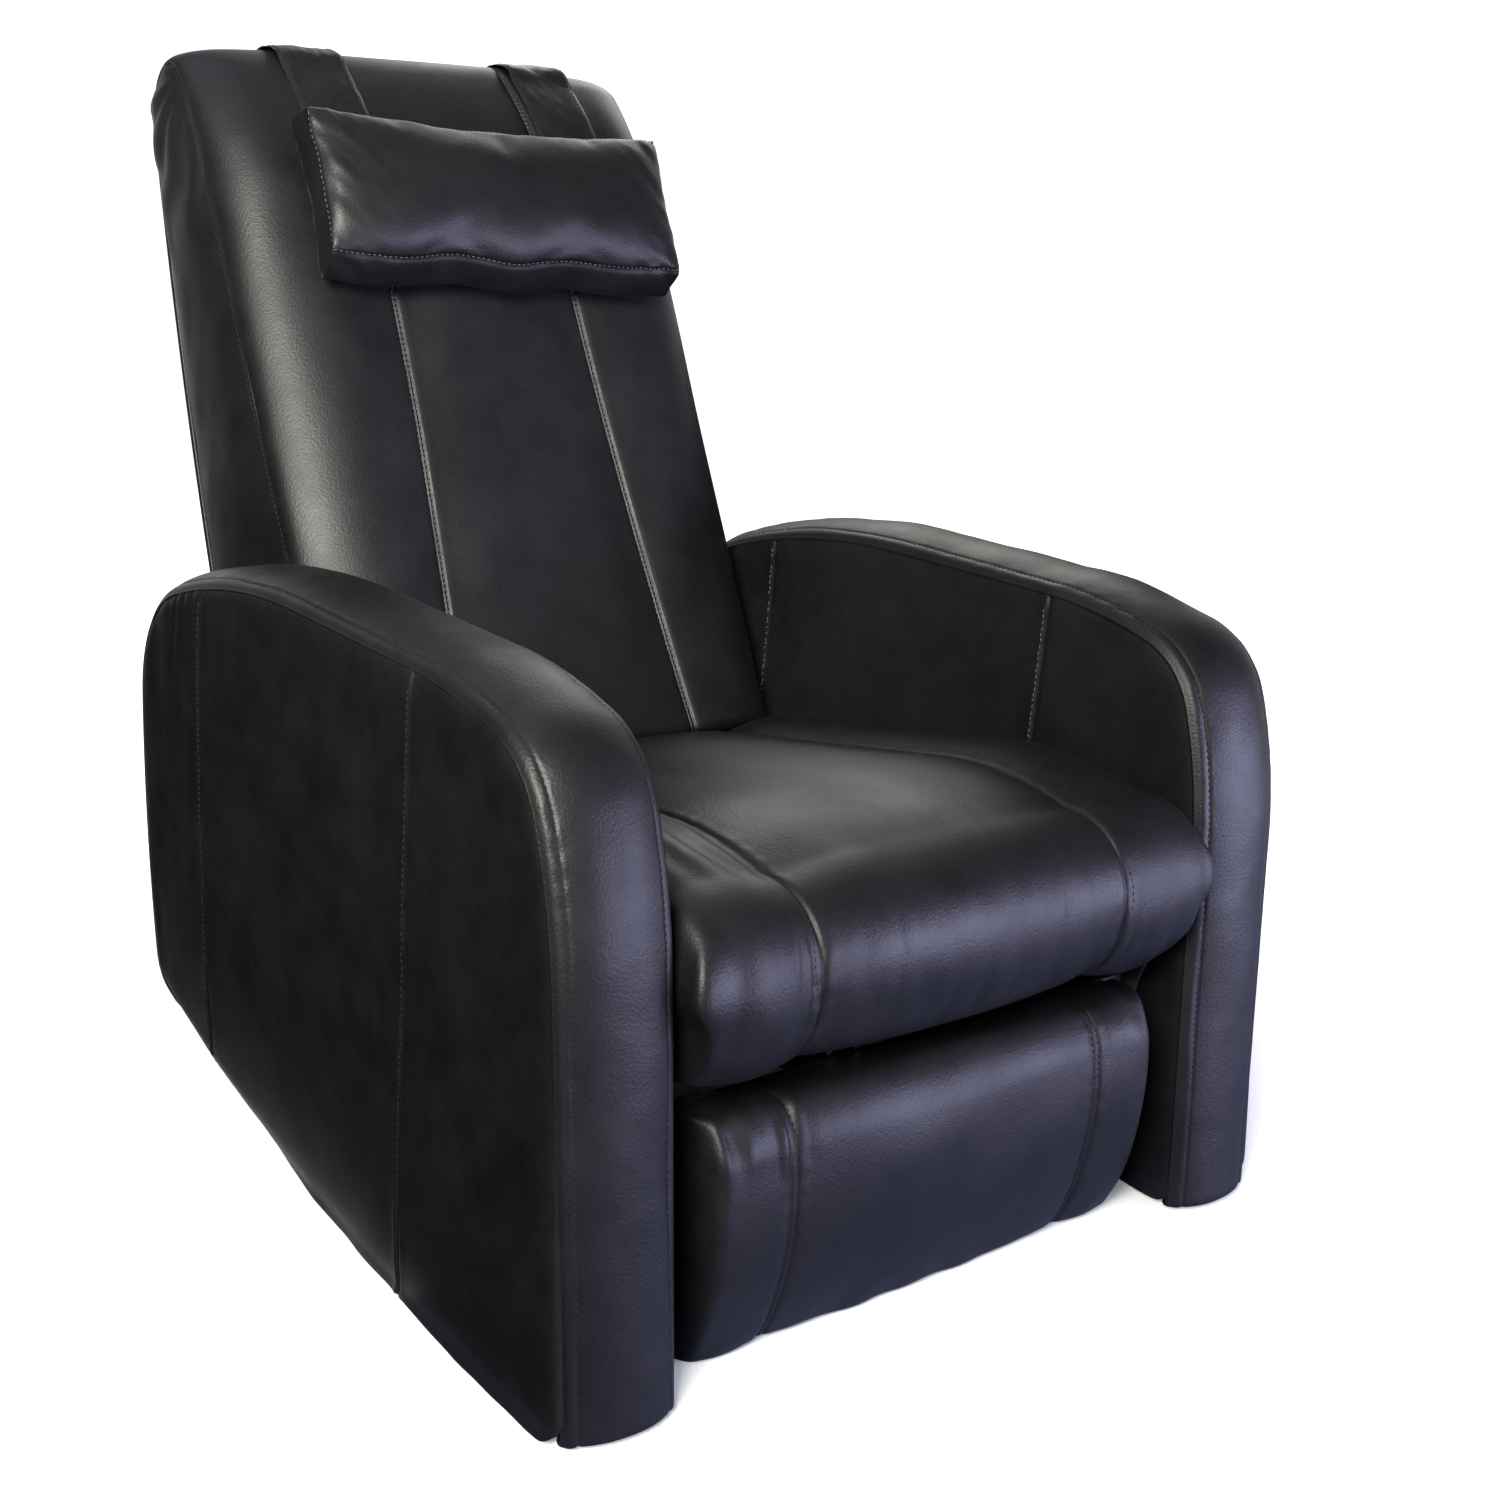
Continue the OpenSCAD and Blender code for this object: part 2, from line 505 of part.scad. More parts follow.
// The foam is hollowed over the middle, where the massage rollers press from behind
function pad_inner(x, p) = pad_depth(p) - (abs(x) < 0.85 * back_half ? 9 : 0);
function back_under(x, p) = let (q = inward(p, pad_inner(x, p))) [x, q[0], q[1]];
module back_front_pad() color(leather) on_back() {
    last = len(back_cols) + side_cols - 1;
    grid = [for (i = [last:-1:-last]) [for (p = back_wrap) [sign(i) * back_col(abs(i), p), p]]];
    quilt([for (row = grid) [for (g = row) back_point(g[0], g[1])]],
        [for (row = grid) [for (g = row) back_under(g[0], g[1])]]);
}
module back_side_shape() polygon(concat(
    [for (p = back_wrap) inward(p, pad_depth(p))],
    [inward(back_last, cover_t), inward(rear_line, cover_t)]));
module back_side() side_view(back_half - cover_t, back_half) back_side_shape();
module back_left_side() color(leather) on_back() mirror([1, 0, 0]) back_side();
module back_right_side() color(leather) on_back() back_side();
module back_rear_panel() color(leather) on_back()
    side_view(-back_half, back_half) polygon([[back_last[0], back_last[1]], [rear_line[0], rear_line[1]],
        inward(rear_line, cover_t), inward(back_last, cover_t)]);

// Steel frame with the recline hinge
post_x = [236, 261];
post_y = [90, 130];
post_z = [52, 745];
hinge_x = [221, 227];
hinge_at = to_back(recline_axis);
lever_at = to_back(back_pin);
tube_at = hinge_at + 0.62 * (lever_at - hinge_at);
module back_posts() color(steel) on_back() both_sides()
    difference() {
        block(post_x, post_y, post_z);
        block([post_x[0] + 2, post_x[1] - 2], [post_y[0] + 2, post_y[1] - 2],
            [post_z[0] - 1, post_z[1] + 1]);
    }
module back_hinge_plates() color(steel) on_back() both_sides() {
    difference() {
        side_view(hinge_x[0], hinge_x[1]) union() {
            hull() { translate(hinge_at) circle(r = 22); translate([110, 130]) circle(r = 18); }
            hull() { translate(hinge_at) circle(r = 22); translate(tube_at) circle(r = 20); }
        }
        cross_pin(hinge_at[0], hinge_at[1], 8 + fit_gap, hinge_x[0] - 1, hinge_x[1] + 1);
    }
    block([hinge_x[1], post_x[0]], [98, 122], [80, 140]);
}
module back_hinge_brackets() color(steel) chair() both_sides() {
    side_view(229, 235) hull() {
        translate(recline_axis) circle(r = 22);
        translate([cross_y[2] - 34, cross_z[1]]) square([52, 2]);
    }
    block([217, 240], [cross_y[2] - 20, cross_y[2] + 20], [cross_z[1], cross_z[1] + 5]);
    cross_pin(recline_axis[0], recline_axis[1], 8, hinge_x[0] - 4, 231);
    cross_pin(recline_axis[0], recline_axis[1], 13, hinge_x[0] - 7, hinge_x[0] - 2);
}
module back_torque_tube() color(steel) on_back() {
    difference() {
        cross_pin(tube_at[0], tube_at[1], 15, -hinge_x[0], hinge_x[0]);
        cross_pin(tube_at[0], tube_at[1], 12, -hinge_x[0] - 1, hinge_x[0] + 1);
    }
    for (s = [-1, 1]) side_view(back_x + s * 15.5 - 2.5, back_x + s * 15.5 + 2.5) difference() {
        hull() { translate(tube_at) circle(r = 19); translate(lever_at) circle(r = 17); }
        translate(tube_at) circle(r = 14.9);
        slot(to_back(recline_axis + [58.9, -97.7]), back_lean - 58.7, 6.5, 1.6);
    }
}
screw_y = 140;
rod_y = 110;
module back_bottom_rail() color(steel) on_back() difference() {
    block([-hinge_x[0], hinge_x[0]], [post_y[0] + 2, post_y[1] - 2], [56, 80]);
    for (s = [-1, 1]) translate([s * rod_x, rod_y, 50]) cylinder(r = rod_r, h = 40);
}
module back_top_rail() color(steel) on_back() difference() {
    block([-post_x[0], post_x[0]], [post_y[0] + 2, post_y[1] - 2], [716, 740]);
    for (s = [-1, 1]) translate([s * rod_x, rod_y, 710]) cylinder(r = rod_r, h = 40);
}

// ---- Massage mechanism -------------------------------------------------------------------------
module guide_rods() color(zinc) on_back()
    for (s = [-1, 1]) translate([s * rod_x, rod_y, 56]) cylinder(r = rod_r, h = 684);
module screw_bearings() color(plastic) on_back()
    for (z = [58, 718]) difference() {
        block([-22, 22], [post_y[1] - 2, screw_y + 14], [z, z + 20]);
        translate([0, screw_y, z - 1]) cylinder(r = screw_r + fit_gap, h = 22);
    }
motor_z = 28;
module travel_motor() color(plastic) on_back() difference() {
    union() {
        block([-30, 26], [post_y[0] + 28, 162], [8, 50]);
        translate([24, screw_y, motor_z]) rotate([0, 90, 0]) cylinder(r = 21, h = 92);
        translate([112, screw_y, motor_z]) rotate([0, 90, 0]) cylinder(r = 8, h = 10);
    }
    translate([0, screw_y, 20]) cylinder(r = screw_r + fit_gap, h = 40);
}
// The lead screw at the outer diameter of its thread
module lead_screw() color(zinc) on_back()
    translate([0, screw_y, 22]) cylinder(r = screw_r, h = 716);
plate_y = [122, 127];
guide_z = 45;
module carriage_plate() color(steel) on_back() translate([0, 0, carriage_u]) difference() {
    union() {
        block([-190, 190], plate_y, [-62, 62]);
        for (s = [-1, 1], z = [-guide_z, guide_z])
            block([s * rod_x - 17, s * rod_x + 17], [rod_y - 15, plate_y[0]], [z - 16, z + 16]);
        block([-24, 24], [plate_y[1], screw_y + 16], [-22, 22]);
    }
    for (s = [-1, 1], z = [-guide_z, guide_z])
        translate([s * rod_x, rod_y, z - 17]) cylinder(r = rod_r + 3, h = 34);
    translate([0, screw_y, -23]) cylinder(r = screw_r + 4, h = 46);
}
module carriage_bushes() color("#d8d6cc") on_back() translate([0, 0, carriage_u])
    for (s = [-1, 1], z = [-guide_z, guide_z]) translate([s * rod_x, rod_y, z - 16]) difference() {
        cylinder(r = rod_r + 3, h = 32);
        translate([0, 0, -1]) cylinder(r = rod_r + fit_gap, h = 34);
    }
module drive_nut() color("#b08d4c") on_back() translate([0, screw_y, carriage_u]) difference() {
    union() {
        translate([0, 0, -22]) cylinder(r = screw_r + 4, h = 50);
        translate([0, 0, 22]) cylinder(r = screw_r + 4.9, h = 6);
    }
    translate([0, 0, -23]) cylinder(r = screw_r + fit_gap, h = 54);
}
shaft_y = 98;
shaft_r = 7;
arm_x = [60, 72];
module kneading_gearbox() color(plastic) on_back() translate([0, 0, carriage_u]) difference() {
    union() {
        block([-50, 50], [shaft_y - 20, plate_y[0]], [-26, 26]);
        translate([-22, plate_y[0] - 24, 22]) cylinder(r = 20, h = 78);
    }
    cross_pin(shaft_y, 0, shaft_r + fit_gap, -51, 51);
}
module kneading_shaft() color(zinc) on_back() translate([0, 0, carriage_u]) {
    cross_pin(shaft_y, 0, shaft_r, -84, 84);
    for (s = [-1, 1]) cross_pin(shaft_y, 0, 12, s * 78 - 4, s * 78 + 4);
}
roller_at = [74, 72];
axle_r = 4;
module roller_arm() on_back() translate([0, 0, carriage_u]) {
    difference() {
        side_view(arm_x[0], arm_x[1]) difference() {
            hull() {
                translate([shaft_y, 0]) circle(r = 17);
                for (s = [-1, 1]) translate([roller_at[0] + 4, s * roller_at[1]]) circle(r = 11);
            }
            translate([roller_at[0] - 62, 0]) circle(r = 70);
        }
        cross_pin(shaft_y, 0, shaft_r + fit_gap, arm_x[0] - 1, arm_x[1] + 1);
    }
    for (s = [-1, 1]) {
        cross_pin(roller_at[0], s * roller_at[1], axle_r, arm_x[0] + 2, 106);
        side_view(arm_x[0], arm_x[1]) hull() {
            translate([roller_at[0], s * roller_at[1]]) circle(r = 9);
            translate([roller_at[0] + 12, s * 56]) circle(r = 9);
        }
        cross_pin(roller_at[0], s * roller_at[1], 8, 103, 106);
    }
}
module left_roller_arm() color(plastic) mirror([1, 0, 0]) roller_arm();
module right_roller_arm() color(plastic) roller_arm();
// A roller is a barrel with rounded shoulders on its axle
module roller(side, s) on_back() translate([side * 88, roller_at[0], carriage_u + s * roller_at[1]])
    rotate([0, 90, 0]) rotate_extrude() polygon(concat(
        [[axle_r + fit_gap, 14], [axle_r + fit_gap, -14]],
        [for (a = [-90:15:90]) [roller_r - 8 + 8 * cos(a), 6 * sin(a) + 8 * sign(a) * (a == 0 ? 0 : 1)]]));
module upper_left_roller() color("#4a3f38") roller(-1, 1);
module lower_left_roller() color("#4a3f38") roller(-1, -1);
module upper_right_roller() color("#4a3f38") roller(1, 1);
module lower_right_roller() color("#4a3f38") roller(1, -1);

// ---- Headrest pillow ---------------------------------------------------------------------------
pillow_z = 622;
pillow_back = -2;
strap_x = 146;
strap_t = 4;
strap_gap = 1.2;
pillow_sag = 12;
// Power of the section's corners: the lower it is, the squarer they are
pillow_square = 0.36;
// A boxed section that swells towards the middle, where its upper edge sags
function pillow_ring(t) =
    let (e = sqrt(max(0, 1 - pow(abs(t), 8))), hz = pillow_h / 2 * (0.94 + 0.06 * e),
        hy = pillow_t / 2 * (0.8 + 0.12 * e + 0.08 * (1 - t * t)))
    [for (a = [351:-18:9]) let (c = cos(a), s = sin(a))
        [t * pillow_w / 2, pillow_back - hy + hy * sign(c) * pow(abs(c), pillow_square),
            pillow_z + hz * sign(s) * pow(abs(s), pillow_square)
                - (s > 0 ? pillow_sag * s * (1 - t * t) : 0)]];
module pillow() color(leather) on_back()
    skin([for (a = [-90:12:90]) pillow_ring(sign(a) * pow(abs(sin(a)), 0.8))]);
// The straps lie on the curved head of the backrest; the pillow lifts about their bend
strap_bend = 45;
function strap_line(gap, from, to) = [for (p = back_wrap) if (p[2] >= from && p[2] <= to) inward(p, -gap)];
module strap_pair() for (s = [-1, 1])
    side_view(s * strap_x - strap_w / 2, s * strap_x + strap_w / 2) children();
strap_low = pillow_z + pillow_h / 8;
module pillow_straps() color(leather) on_back() strap_pair()
    polygon(concat([[-strap_gap - strap_t, strap_low]],
        strap_line(strap_gap + strap_t, 2, strap_bend - 3),
        reversed(strap_line(strap_gap, 2, strap_bend - 3)), [[-strap_gap, strap_low]]));
module strap_anchors() color(leather) on_back() strap_pair()
    polygon(concat(strap_line(strap_gap + strap_t, strap_bend + 3, 180),
        reversed(strap_line(0, strap_bend + 3, 180))));

// The origin lies under the middle of the whole chair, so all of it moves forward by mid_y
front_y = arm_base * tan(arm_lean) - band_crown;
rear_y = max([for (p = strap_line(strap_gap + strap_t, strap_bend + 3, 180))
    back_foot[0] + turned([p[0], p[1]], back_lean)[0]]);
mid_y = (front_y + rear_y) / 2;
echo(origin_from_front_seam = mid_y);

left_arm_frame();
right_arm_frame();
left_arm_outer_panel();
right_arm_outer_panel();
left_arm_inner_panel();
right_arm_inner_panel();
left_arm_band();
right_arm_band();
floor_glides();
base_side_rails();
base_crossmembers();
arm_bolts();
seat_uprights();
seat_side_rails();
seat_front_rail();
seat_rear_rail();
seat_springs();
seat_cushion();
control_box();
mains_inlet();
power_switch();
footrest_hinge_plates();
footrest_hangers();
footrest_board();
footrest_pad();
footrest_lever();
leg_actuator_bracket();
leg_actuator_body();
leg_actuator_rod();
back_actuator_bracket();
back_actuator_body();
back_actuator_rod();
back_hinge_brackets();
back_hinge_plates();
back_posts();
back_bottom_rail();
back_top_rail();
back_torque_tube();
back_front_pad();
back_left_side();
back_right_side();
back_rear_panel();
guide_rods();
screw_bearings();
travel_motor();
lead_screw();
carriage_plate();
carriage_bushes();
drive_nut();
kneading_gearbox();
kneading_shaft();
left_roller_arm();
right_roller_arm();
upper_left_roller();
lower_left_roller();
upper_right_roller();
lower_right_roller();
pillow();
pillow_straps();
strap_anchors();
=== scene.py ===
import math

import bpy
import numpy as np
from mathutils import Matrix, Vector
from mathutils.bvhtree import BVHTree


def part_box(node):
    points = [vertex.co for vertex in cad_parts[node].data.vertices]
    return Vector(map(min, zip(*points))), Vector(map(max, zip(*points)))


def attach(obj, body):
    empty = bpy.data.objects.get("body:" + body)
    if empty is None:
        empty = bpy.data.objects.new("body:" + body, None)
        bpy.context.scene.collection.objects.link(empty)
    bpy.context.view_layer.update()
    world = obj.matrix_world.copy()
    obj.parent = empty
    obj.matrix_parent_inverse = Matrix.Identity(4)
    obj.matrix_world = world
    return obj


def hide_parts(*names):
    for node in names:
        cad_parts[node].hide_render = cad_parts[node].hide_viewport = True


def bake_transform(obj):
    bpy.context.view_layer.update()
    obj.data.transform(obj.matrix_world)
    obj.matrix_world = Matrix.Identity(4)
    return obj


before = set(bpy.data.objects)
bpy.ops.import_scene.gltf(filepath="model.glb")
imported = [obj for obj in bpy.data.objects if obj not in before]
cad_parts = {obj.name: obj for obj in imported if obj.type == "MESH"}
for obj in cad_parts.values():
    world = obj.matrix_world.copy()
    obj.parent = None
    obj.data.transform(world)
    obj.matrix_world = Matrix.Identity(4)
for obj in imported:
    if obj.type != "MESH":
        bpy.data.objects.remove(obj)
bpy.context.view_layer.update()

# ---- Studio ----------------------------------------
# A pale floor that sweeps up behind the chair, a soft light high on the left, a cooler one low in
# front on the right, weak ones from the rear and overhead, and cards that only mirrors see.

camera_place = (-1.0883, -1.528135, 0.9382)
camera_turn = (70.76519, -2.40562, -34.02472)
focal_length = 44.485
lens_shift = (0.1001, 0.0487)
lens = bpy.data.cameras.new("camera")
lens.lens = focal_length
lens.sensor_width = 36
lens.shift_x, lens.shift_y = lens_shift


def dial(node, **values):
    """Sets a node's sockets; an underscore stands for a space in a socket's name."""
    for socket, value in values.items():
        node.inputs[socket.replace("_", " ")].default_value = value


def add_object(name, data):
    """A new object of the scene with this mesh, lamp or camera."""
    found = bpy.data.objects.new(name, data)
    bpy.context.collection.objects.link(found)
    return found


camera = add_object("camera", lens)
camera.location = camera_place
camera.rotation_euler = [math.radians(a) for a in camera_turn]
bpy.context.scene.camera = camera
bpy.context.scene.view_settings.view_transform = "Standard"

world = bpy.data.worlds.new("studio")
bpy.context.scene.world = world
world.use_nodes = True
dial(world.node_tree.nodes["Background"], Color=(0.20, 0.21, 0.23, 1), Strength=0.6)

floor_half = 11.0
sweep_radius = 2.5
sweep_height = 7.0
sweep_back = 8.0
backdrop_turn = math.radians(-34.9)
bpy.ops.object.select_all(action="DESELECT")
bpy.ops.mesh.primitive_plane_add(size=2 * floor_half, location=(0, 0, 0), rotation=(0, 0, backdrop_turn))
floor = bpy.context.object
floor.name = "studio_floor"
steps = 24
profile = [(sweep_back - sweep_radius + sweep_radius * math.sin(a), sweep_radius * (1 - math.cos(a)))
           for a in np.linspace(0, math.pi / 2, steps)] + [(sweep_back, sweep_height)]
corners = [(x, y, z + 0.002) for y, z in profile for x in (-floor_half, floor_half)]
backdrop_mesh = bpy.data.meshes.new("studio_backdrop")
backdrop_mesh.from_pydata(corners, [], [(2 * i, 2 * i + 1, 2 * i + 3, 2 * i + 2) for i in range(steps)])
backdrop = add_object("studio_backdrop", backdrop_mesh)
backdrop.rotation_euler[2] = backdrop_turn


def studio_paint(name, near, far):
    """Matt pale paint that shows plain white beyond some distance from the chair.

    The eye meets white from near, and what mirrors the studio meets it from far.
    """
    paint = bpy.data.materials.new(name)
    paint.use_nodes = True
    nodes, links = paint.node_tree.nodes, paint.node_tree.links
    shader = nodes["Principled BSDF"]
    dial(shader, Base_Color=(0.72, 0.72, 0.72, 1), Roughness=1.0, Specular_IOR_Level=0.0,
         Emission_Color=(1, 1, 1, 1))
    where = nodes.new("ShaderNodeTexCoord").outputs["Object"]
    reach = nodes.new("ShaderNodeVectorMath")
    reach.operation = "LENGTH"
    links.new(where, reach.inputs[0])
    rays = nodes.new("ShaderNodeLightPath")
    glow = None
    for kind, (start, end) in (("Is Camera Ray", near), ("Is Glossy Ray", far),
                               ("Is Transmission Ray", far)):
        clear = nodes.new("ShaderNodeMapRange")
        clear.interpolation_type = "SMOOTHSTEP"
        dial(clear, From_Min=start, From_Max=end)
        links.new(reach.outputs["Value"], clear.inputs["Value"])
        seen = nodes.new("ShaderNodeMath")
        seen.operation = "MULTIPLY"
        links.new(rays.outputs[kind], seen.inputs[0])
        links.new(clear.outputs["Result"], seen.inputs[1])
        if glow is None:
            glow = seen
        else:
            most = nodes.new("ShaderNodeMath")
            most.operation = "MAXIMUM"
            links.new(glow.outputs["Value"], most.inputs[0])
            links.new(seen.outputs["Value"], most.inputs[1])
            glow = most
    links.new(glow.outputs["Value"], shader.inputs["Emission Strength"])
    return paint


white_near, white_far = (0.35, 1.25), (2.6, 5.5)
floor.data.materials.append(studio_paint("floor_paint", white_near, white_far))
backdrop.data.materials.append(studio_paint("backdrop_paint", white_near, white_far))


def soft_light(name, place, target, size, watts, colour, spread=180):
    """A softbox at place that faces target; a narrow spread keeps its light off the floor."""
    lamp = bpy.data.lights.new(name, "AREA")
    lamp.shape = "RECTANGLE"
    lamp.size, lamp.size_y = size
    lamp.energy = watts
    lamp.color = colour
    lamp.spread = math.radians(spread)
    light = add_object(name, lamp)
    light.location = place
    light.rotation_euler = (Vector(target) - Vector(place)).to_track_quat("-Z", "Y").to_euler()


soft_light("left_softbox", (-1.85, -1.45, 1.75), (-0.2, 0.3, 0.85), (1.0, 1.0), 62,
           (0.97, 1.0, 0.90), 80)
soft_light("front_softbox", (1.7, -2.7, 0.52), (0, 0, 0.32), (2.4, 1.0), 160, (0.65, 0.64, 1.0))
soft_light("rear_softbox", (2.1, 2.2, 2.4), (0, 0, 0.5), (1.8, 1.2), 32, (1.0, 1.0, 0.92))
soft_light("fill_softbox", (-0.6, 0.6, 3.6), (0, 0, 0), (2.6, 2.6), 30, (0.82, 0.87, 1.0))


def card(name, corners, colour):
    """A card that only mirrors see: it gives the leather something dark or cool to reflect."""
    mesh = bpy.data.meshes.new(name)
    mesh.from_pydata(corners, [], [(0, 1, 2, 3)])
    sheet = add_object(name, mesh)
    sheet.visible_camera = sheet.visible_diffuse = False
    sheet.visible_shadow = sheet.visible_transmission = False
    cloth = bpy.data.materials.new(name + "_cloth")
    cloth.use_nodes = True
    dial(cloth.node_tree.nodes["Principled BSDF"], Base_Color=(*colour, 1), Specular_IOR_Level=0.0)
    mesh.materials.append(cloth)


card_black, card_blue = (0.002, 0.002, 0.002), (0.22, 0.24, 0.42)
card_rear, card_top, card_foot = 1.60, 0.80, 0.004
for name, foot, head, front in (("left_card", -0.430, -0.72, -0.56), ("right_card", 0.430, 0.75, -0.20)):
    card(name, [(foot, front, card_foot), (foot, card_rear, card_foot),
                (head, card_rear, card_top), (head, front, card_top)], card_black)
card("front_card", [(-0.9, -0.30, 0.003), (1.7, -0.30, 0.003),
                    (1.7, -1.45, 0.003), (-0.9, -1.45, 0.003)], card_blue)

# ---- Arms ----------------------------------------
# Each arm is a plywood frame with foam on it, covered in black leather: a padded panel on either
# side and a crowned band sewn between them from the foot of the front edge over to the rear. The
# seams sit in a groove, with a row of topstitching beside them on the band.

seat_gap = 0.602
arm_width = 0.109
inner_x = seat_gap / 2
outer_x = inner_x + arm_width
arm_lean = 5.6
arm_base = 0.005
toe_radius = 0.020
seam_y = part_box("seat_rear_rail")[0][1] - 0.572     # the arms' front seam at the floor


def sine(degrees):
    return math.sin(math.radians(degrees))


def cosine(degrees):
    return math.cos(math.radians(degrees))


def trace(start, runs, inset=0.0):
    """Points of a side view from straight runs and arcs, as rows of y, z and heading.

    A run is (length, 0, steps) and an arc (radius, turn, steps). Headings are in degrees from
    up towards the rear, and the inset draws every arc in towards its centre.
    """
    rows = [start]
    for size, turn, count in runs:
        y, z, heading = rows[-1]
        for i in range(1, count + 1):
            now = heading + turn * i / count
            a, b = math.radians(heading), math.radians(now)
            if turn:
                side = math.copysign(1, turn)
                radius = size - side * inset
                rows.append((y + side * radius * (math.cos(a) - math.cos(b)),
                             z - side * radius * (math.sin(a) - math.sin(b)), now))
            else:
                length = size * i / count
                rows.append((y + length * math.sin(a), z + length * math.cos(a), now))
    return rows


def loft(name, rings):
    """A closed skin over rings of points; each end is closed with a strip across it."""
    rings = np.asarray(rings, float)
    rows, count = rings.shape[:2]
    i, j = np.meshgrid(np.arange(rows - 1), np.arange(count), indexing="ij")
    k = (j + 1) % count
    quads = np.stack([i * count + j, (i + 1) * count + j, (i + 1) * count + k, i * count + k], -1)
    faces = quads.reshape(-1, 4).tolist()
    end = (rows - 1) * count
    for j in range((count - 1) // 2):
        strip = list(dict.fromkeys((j, j + 1, count - 2 - j, count - 1 - j)))
        faces += [strip, [end + k for k in strip[::-1]]]
    mesh = bpy.data.meshes.new(name)
    mesh.from_pydata(rings.reshape(-1, 3).tolist(), [], faces)
    piece = add_object(name, mesh)
    face_out(piece)
    return piece


def face_out(piece):
    """Turns all faces outwards and shades them smooth."""
    operate(piece)
    bpy.ops.object.mode_set(mode="EDIT")
    bpy.ops.mesh.select_all(action="SELECT")
    bpy.ops.mesh.normals_make_consistent(inside=False)
    bpy.ops.object.mode_set(mode="OBJECT")
    bpy.ops.object.shade_smooth()


def operate(piece):
    """Selects this piece alone, for the operators that follow."""
    bpy.ops.object.select_all(action="DESELECT")
    bpy.context.view_layer.objects.active = piece
    piece.select_set(True)


def points_of(piece):
    """The points of a piece as rows of x, y and z."""
    co = np.empty(len(piece.data.vertices) * 3)
    piece.data.vertices.foreach_get("co", co)
    return co.reshape(-1, 3)


def normals_of(piece):
    """The outward direction at each point."""
    piece.data.update()
    found = np.empty(len(piece.data.vertices) * 3)
    piece.data.vertex_normals.foreach_get("vector", found)
    return found.reshape(-1, 3)


def place_points(piece, co):
    """Puts the points of a piece where these rows say."""
    piece.data.vertices.foreach_set("co", np.ascontiguousarray(co).ravel())
    piece.data.update()


def swell(piece, height):
    """Moves every point out along its normal by its own height."""
    place_points(piece, points_of(piece) + normals_of(piece) * np.asarray(height)[:, None])


def finer(piece, near):
    """Splits the faces whose points are all near a line of sewing."""
    operate(piece)
    mesh = piece.data
    bpy.ops.object.mode_set(mode="EDIT")
    bpy.ops.mesh.select_mode(type="FACE")
    bpy.ops.mesh.select_all(action="DESELECT")
    bpy.ops.object.mode_set(mode="OBJECT")
    mesh.polygons.foreach_set("select", [bool(near[list(p.vertices)].all()) for p in mesh.polygons])
    bpy.ops.object.mode_set(mode="EDIT")
    bpy.ops.mesh.subdivide(number_cuts=1, smoothness=0)
    bpy.ops.object.mode_set(mode="OBJECT")


def finish_mesh(piece):
    """One level of subdivision, applied."""
    operate(piece)
    rounding = piece.modifiers.new("rounding", "SUBSURF")
    rounding.levels = rounding.render_levels = 1
    bpy.ops.object.modifier_apply(modifier="rounding")
    bpy.ops.object.shade_smooth()


def ripple(points, size, seed, waves=16):
    """Smooth noise of unit strength whose swells are about size apart."""
    draw = np.random.default_rng(seed)
    way = draw.normal(size=(waves, 3))
    way /= np.linalg.norm(way, axis=1)[:, None]
    rate = 2 * math.pi / size * draw.uniform(0.7, 1.4, (waves, 1))
    phase = draw.uniform(0, 2 * math.pi, waves)
    return np.sin(np.asarray(points) @ (way * rate).T + phase).sum(1) / math.sqrt(waves / 2)


def bell(distance, width):
    """1 on a line, falling away on both sides of it."""
    return np.exp(-(np.asarray(distance) / width) ** 2)


def fade(value, start, end):
    """0 at start, 1 at end, smooth between them, whichever is larger."""
    t = np.clip((np.asarray(value) - start) / (end - start), 0, 1)
    return t * t * (3 - 2 * t)


stitch_length = 0.0046
stitch_pitch = 0.0062
thread_radius = 0.00055


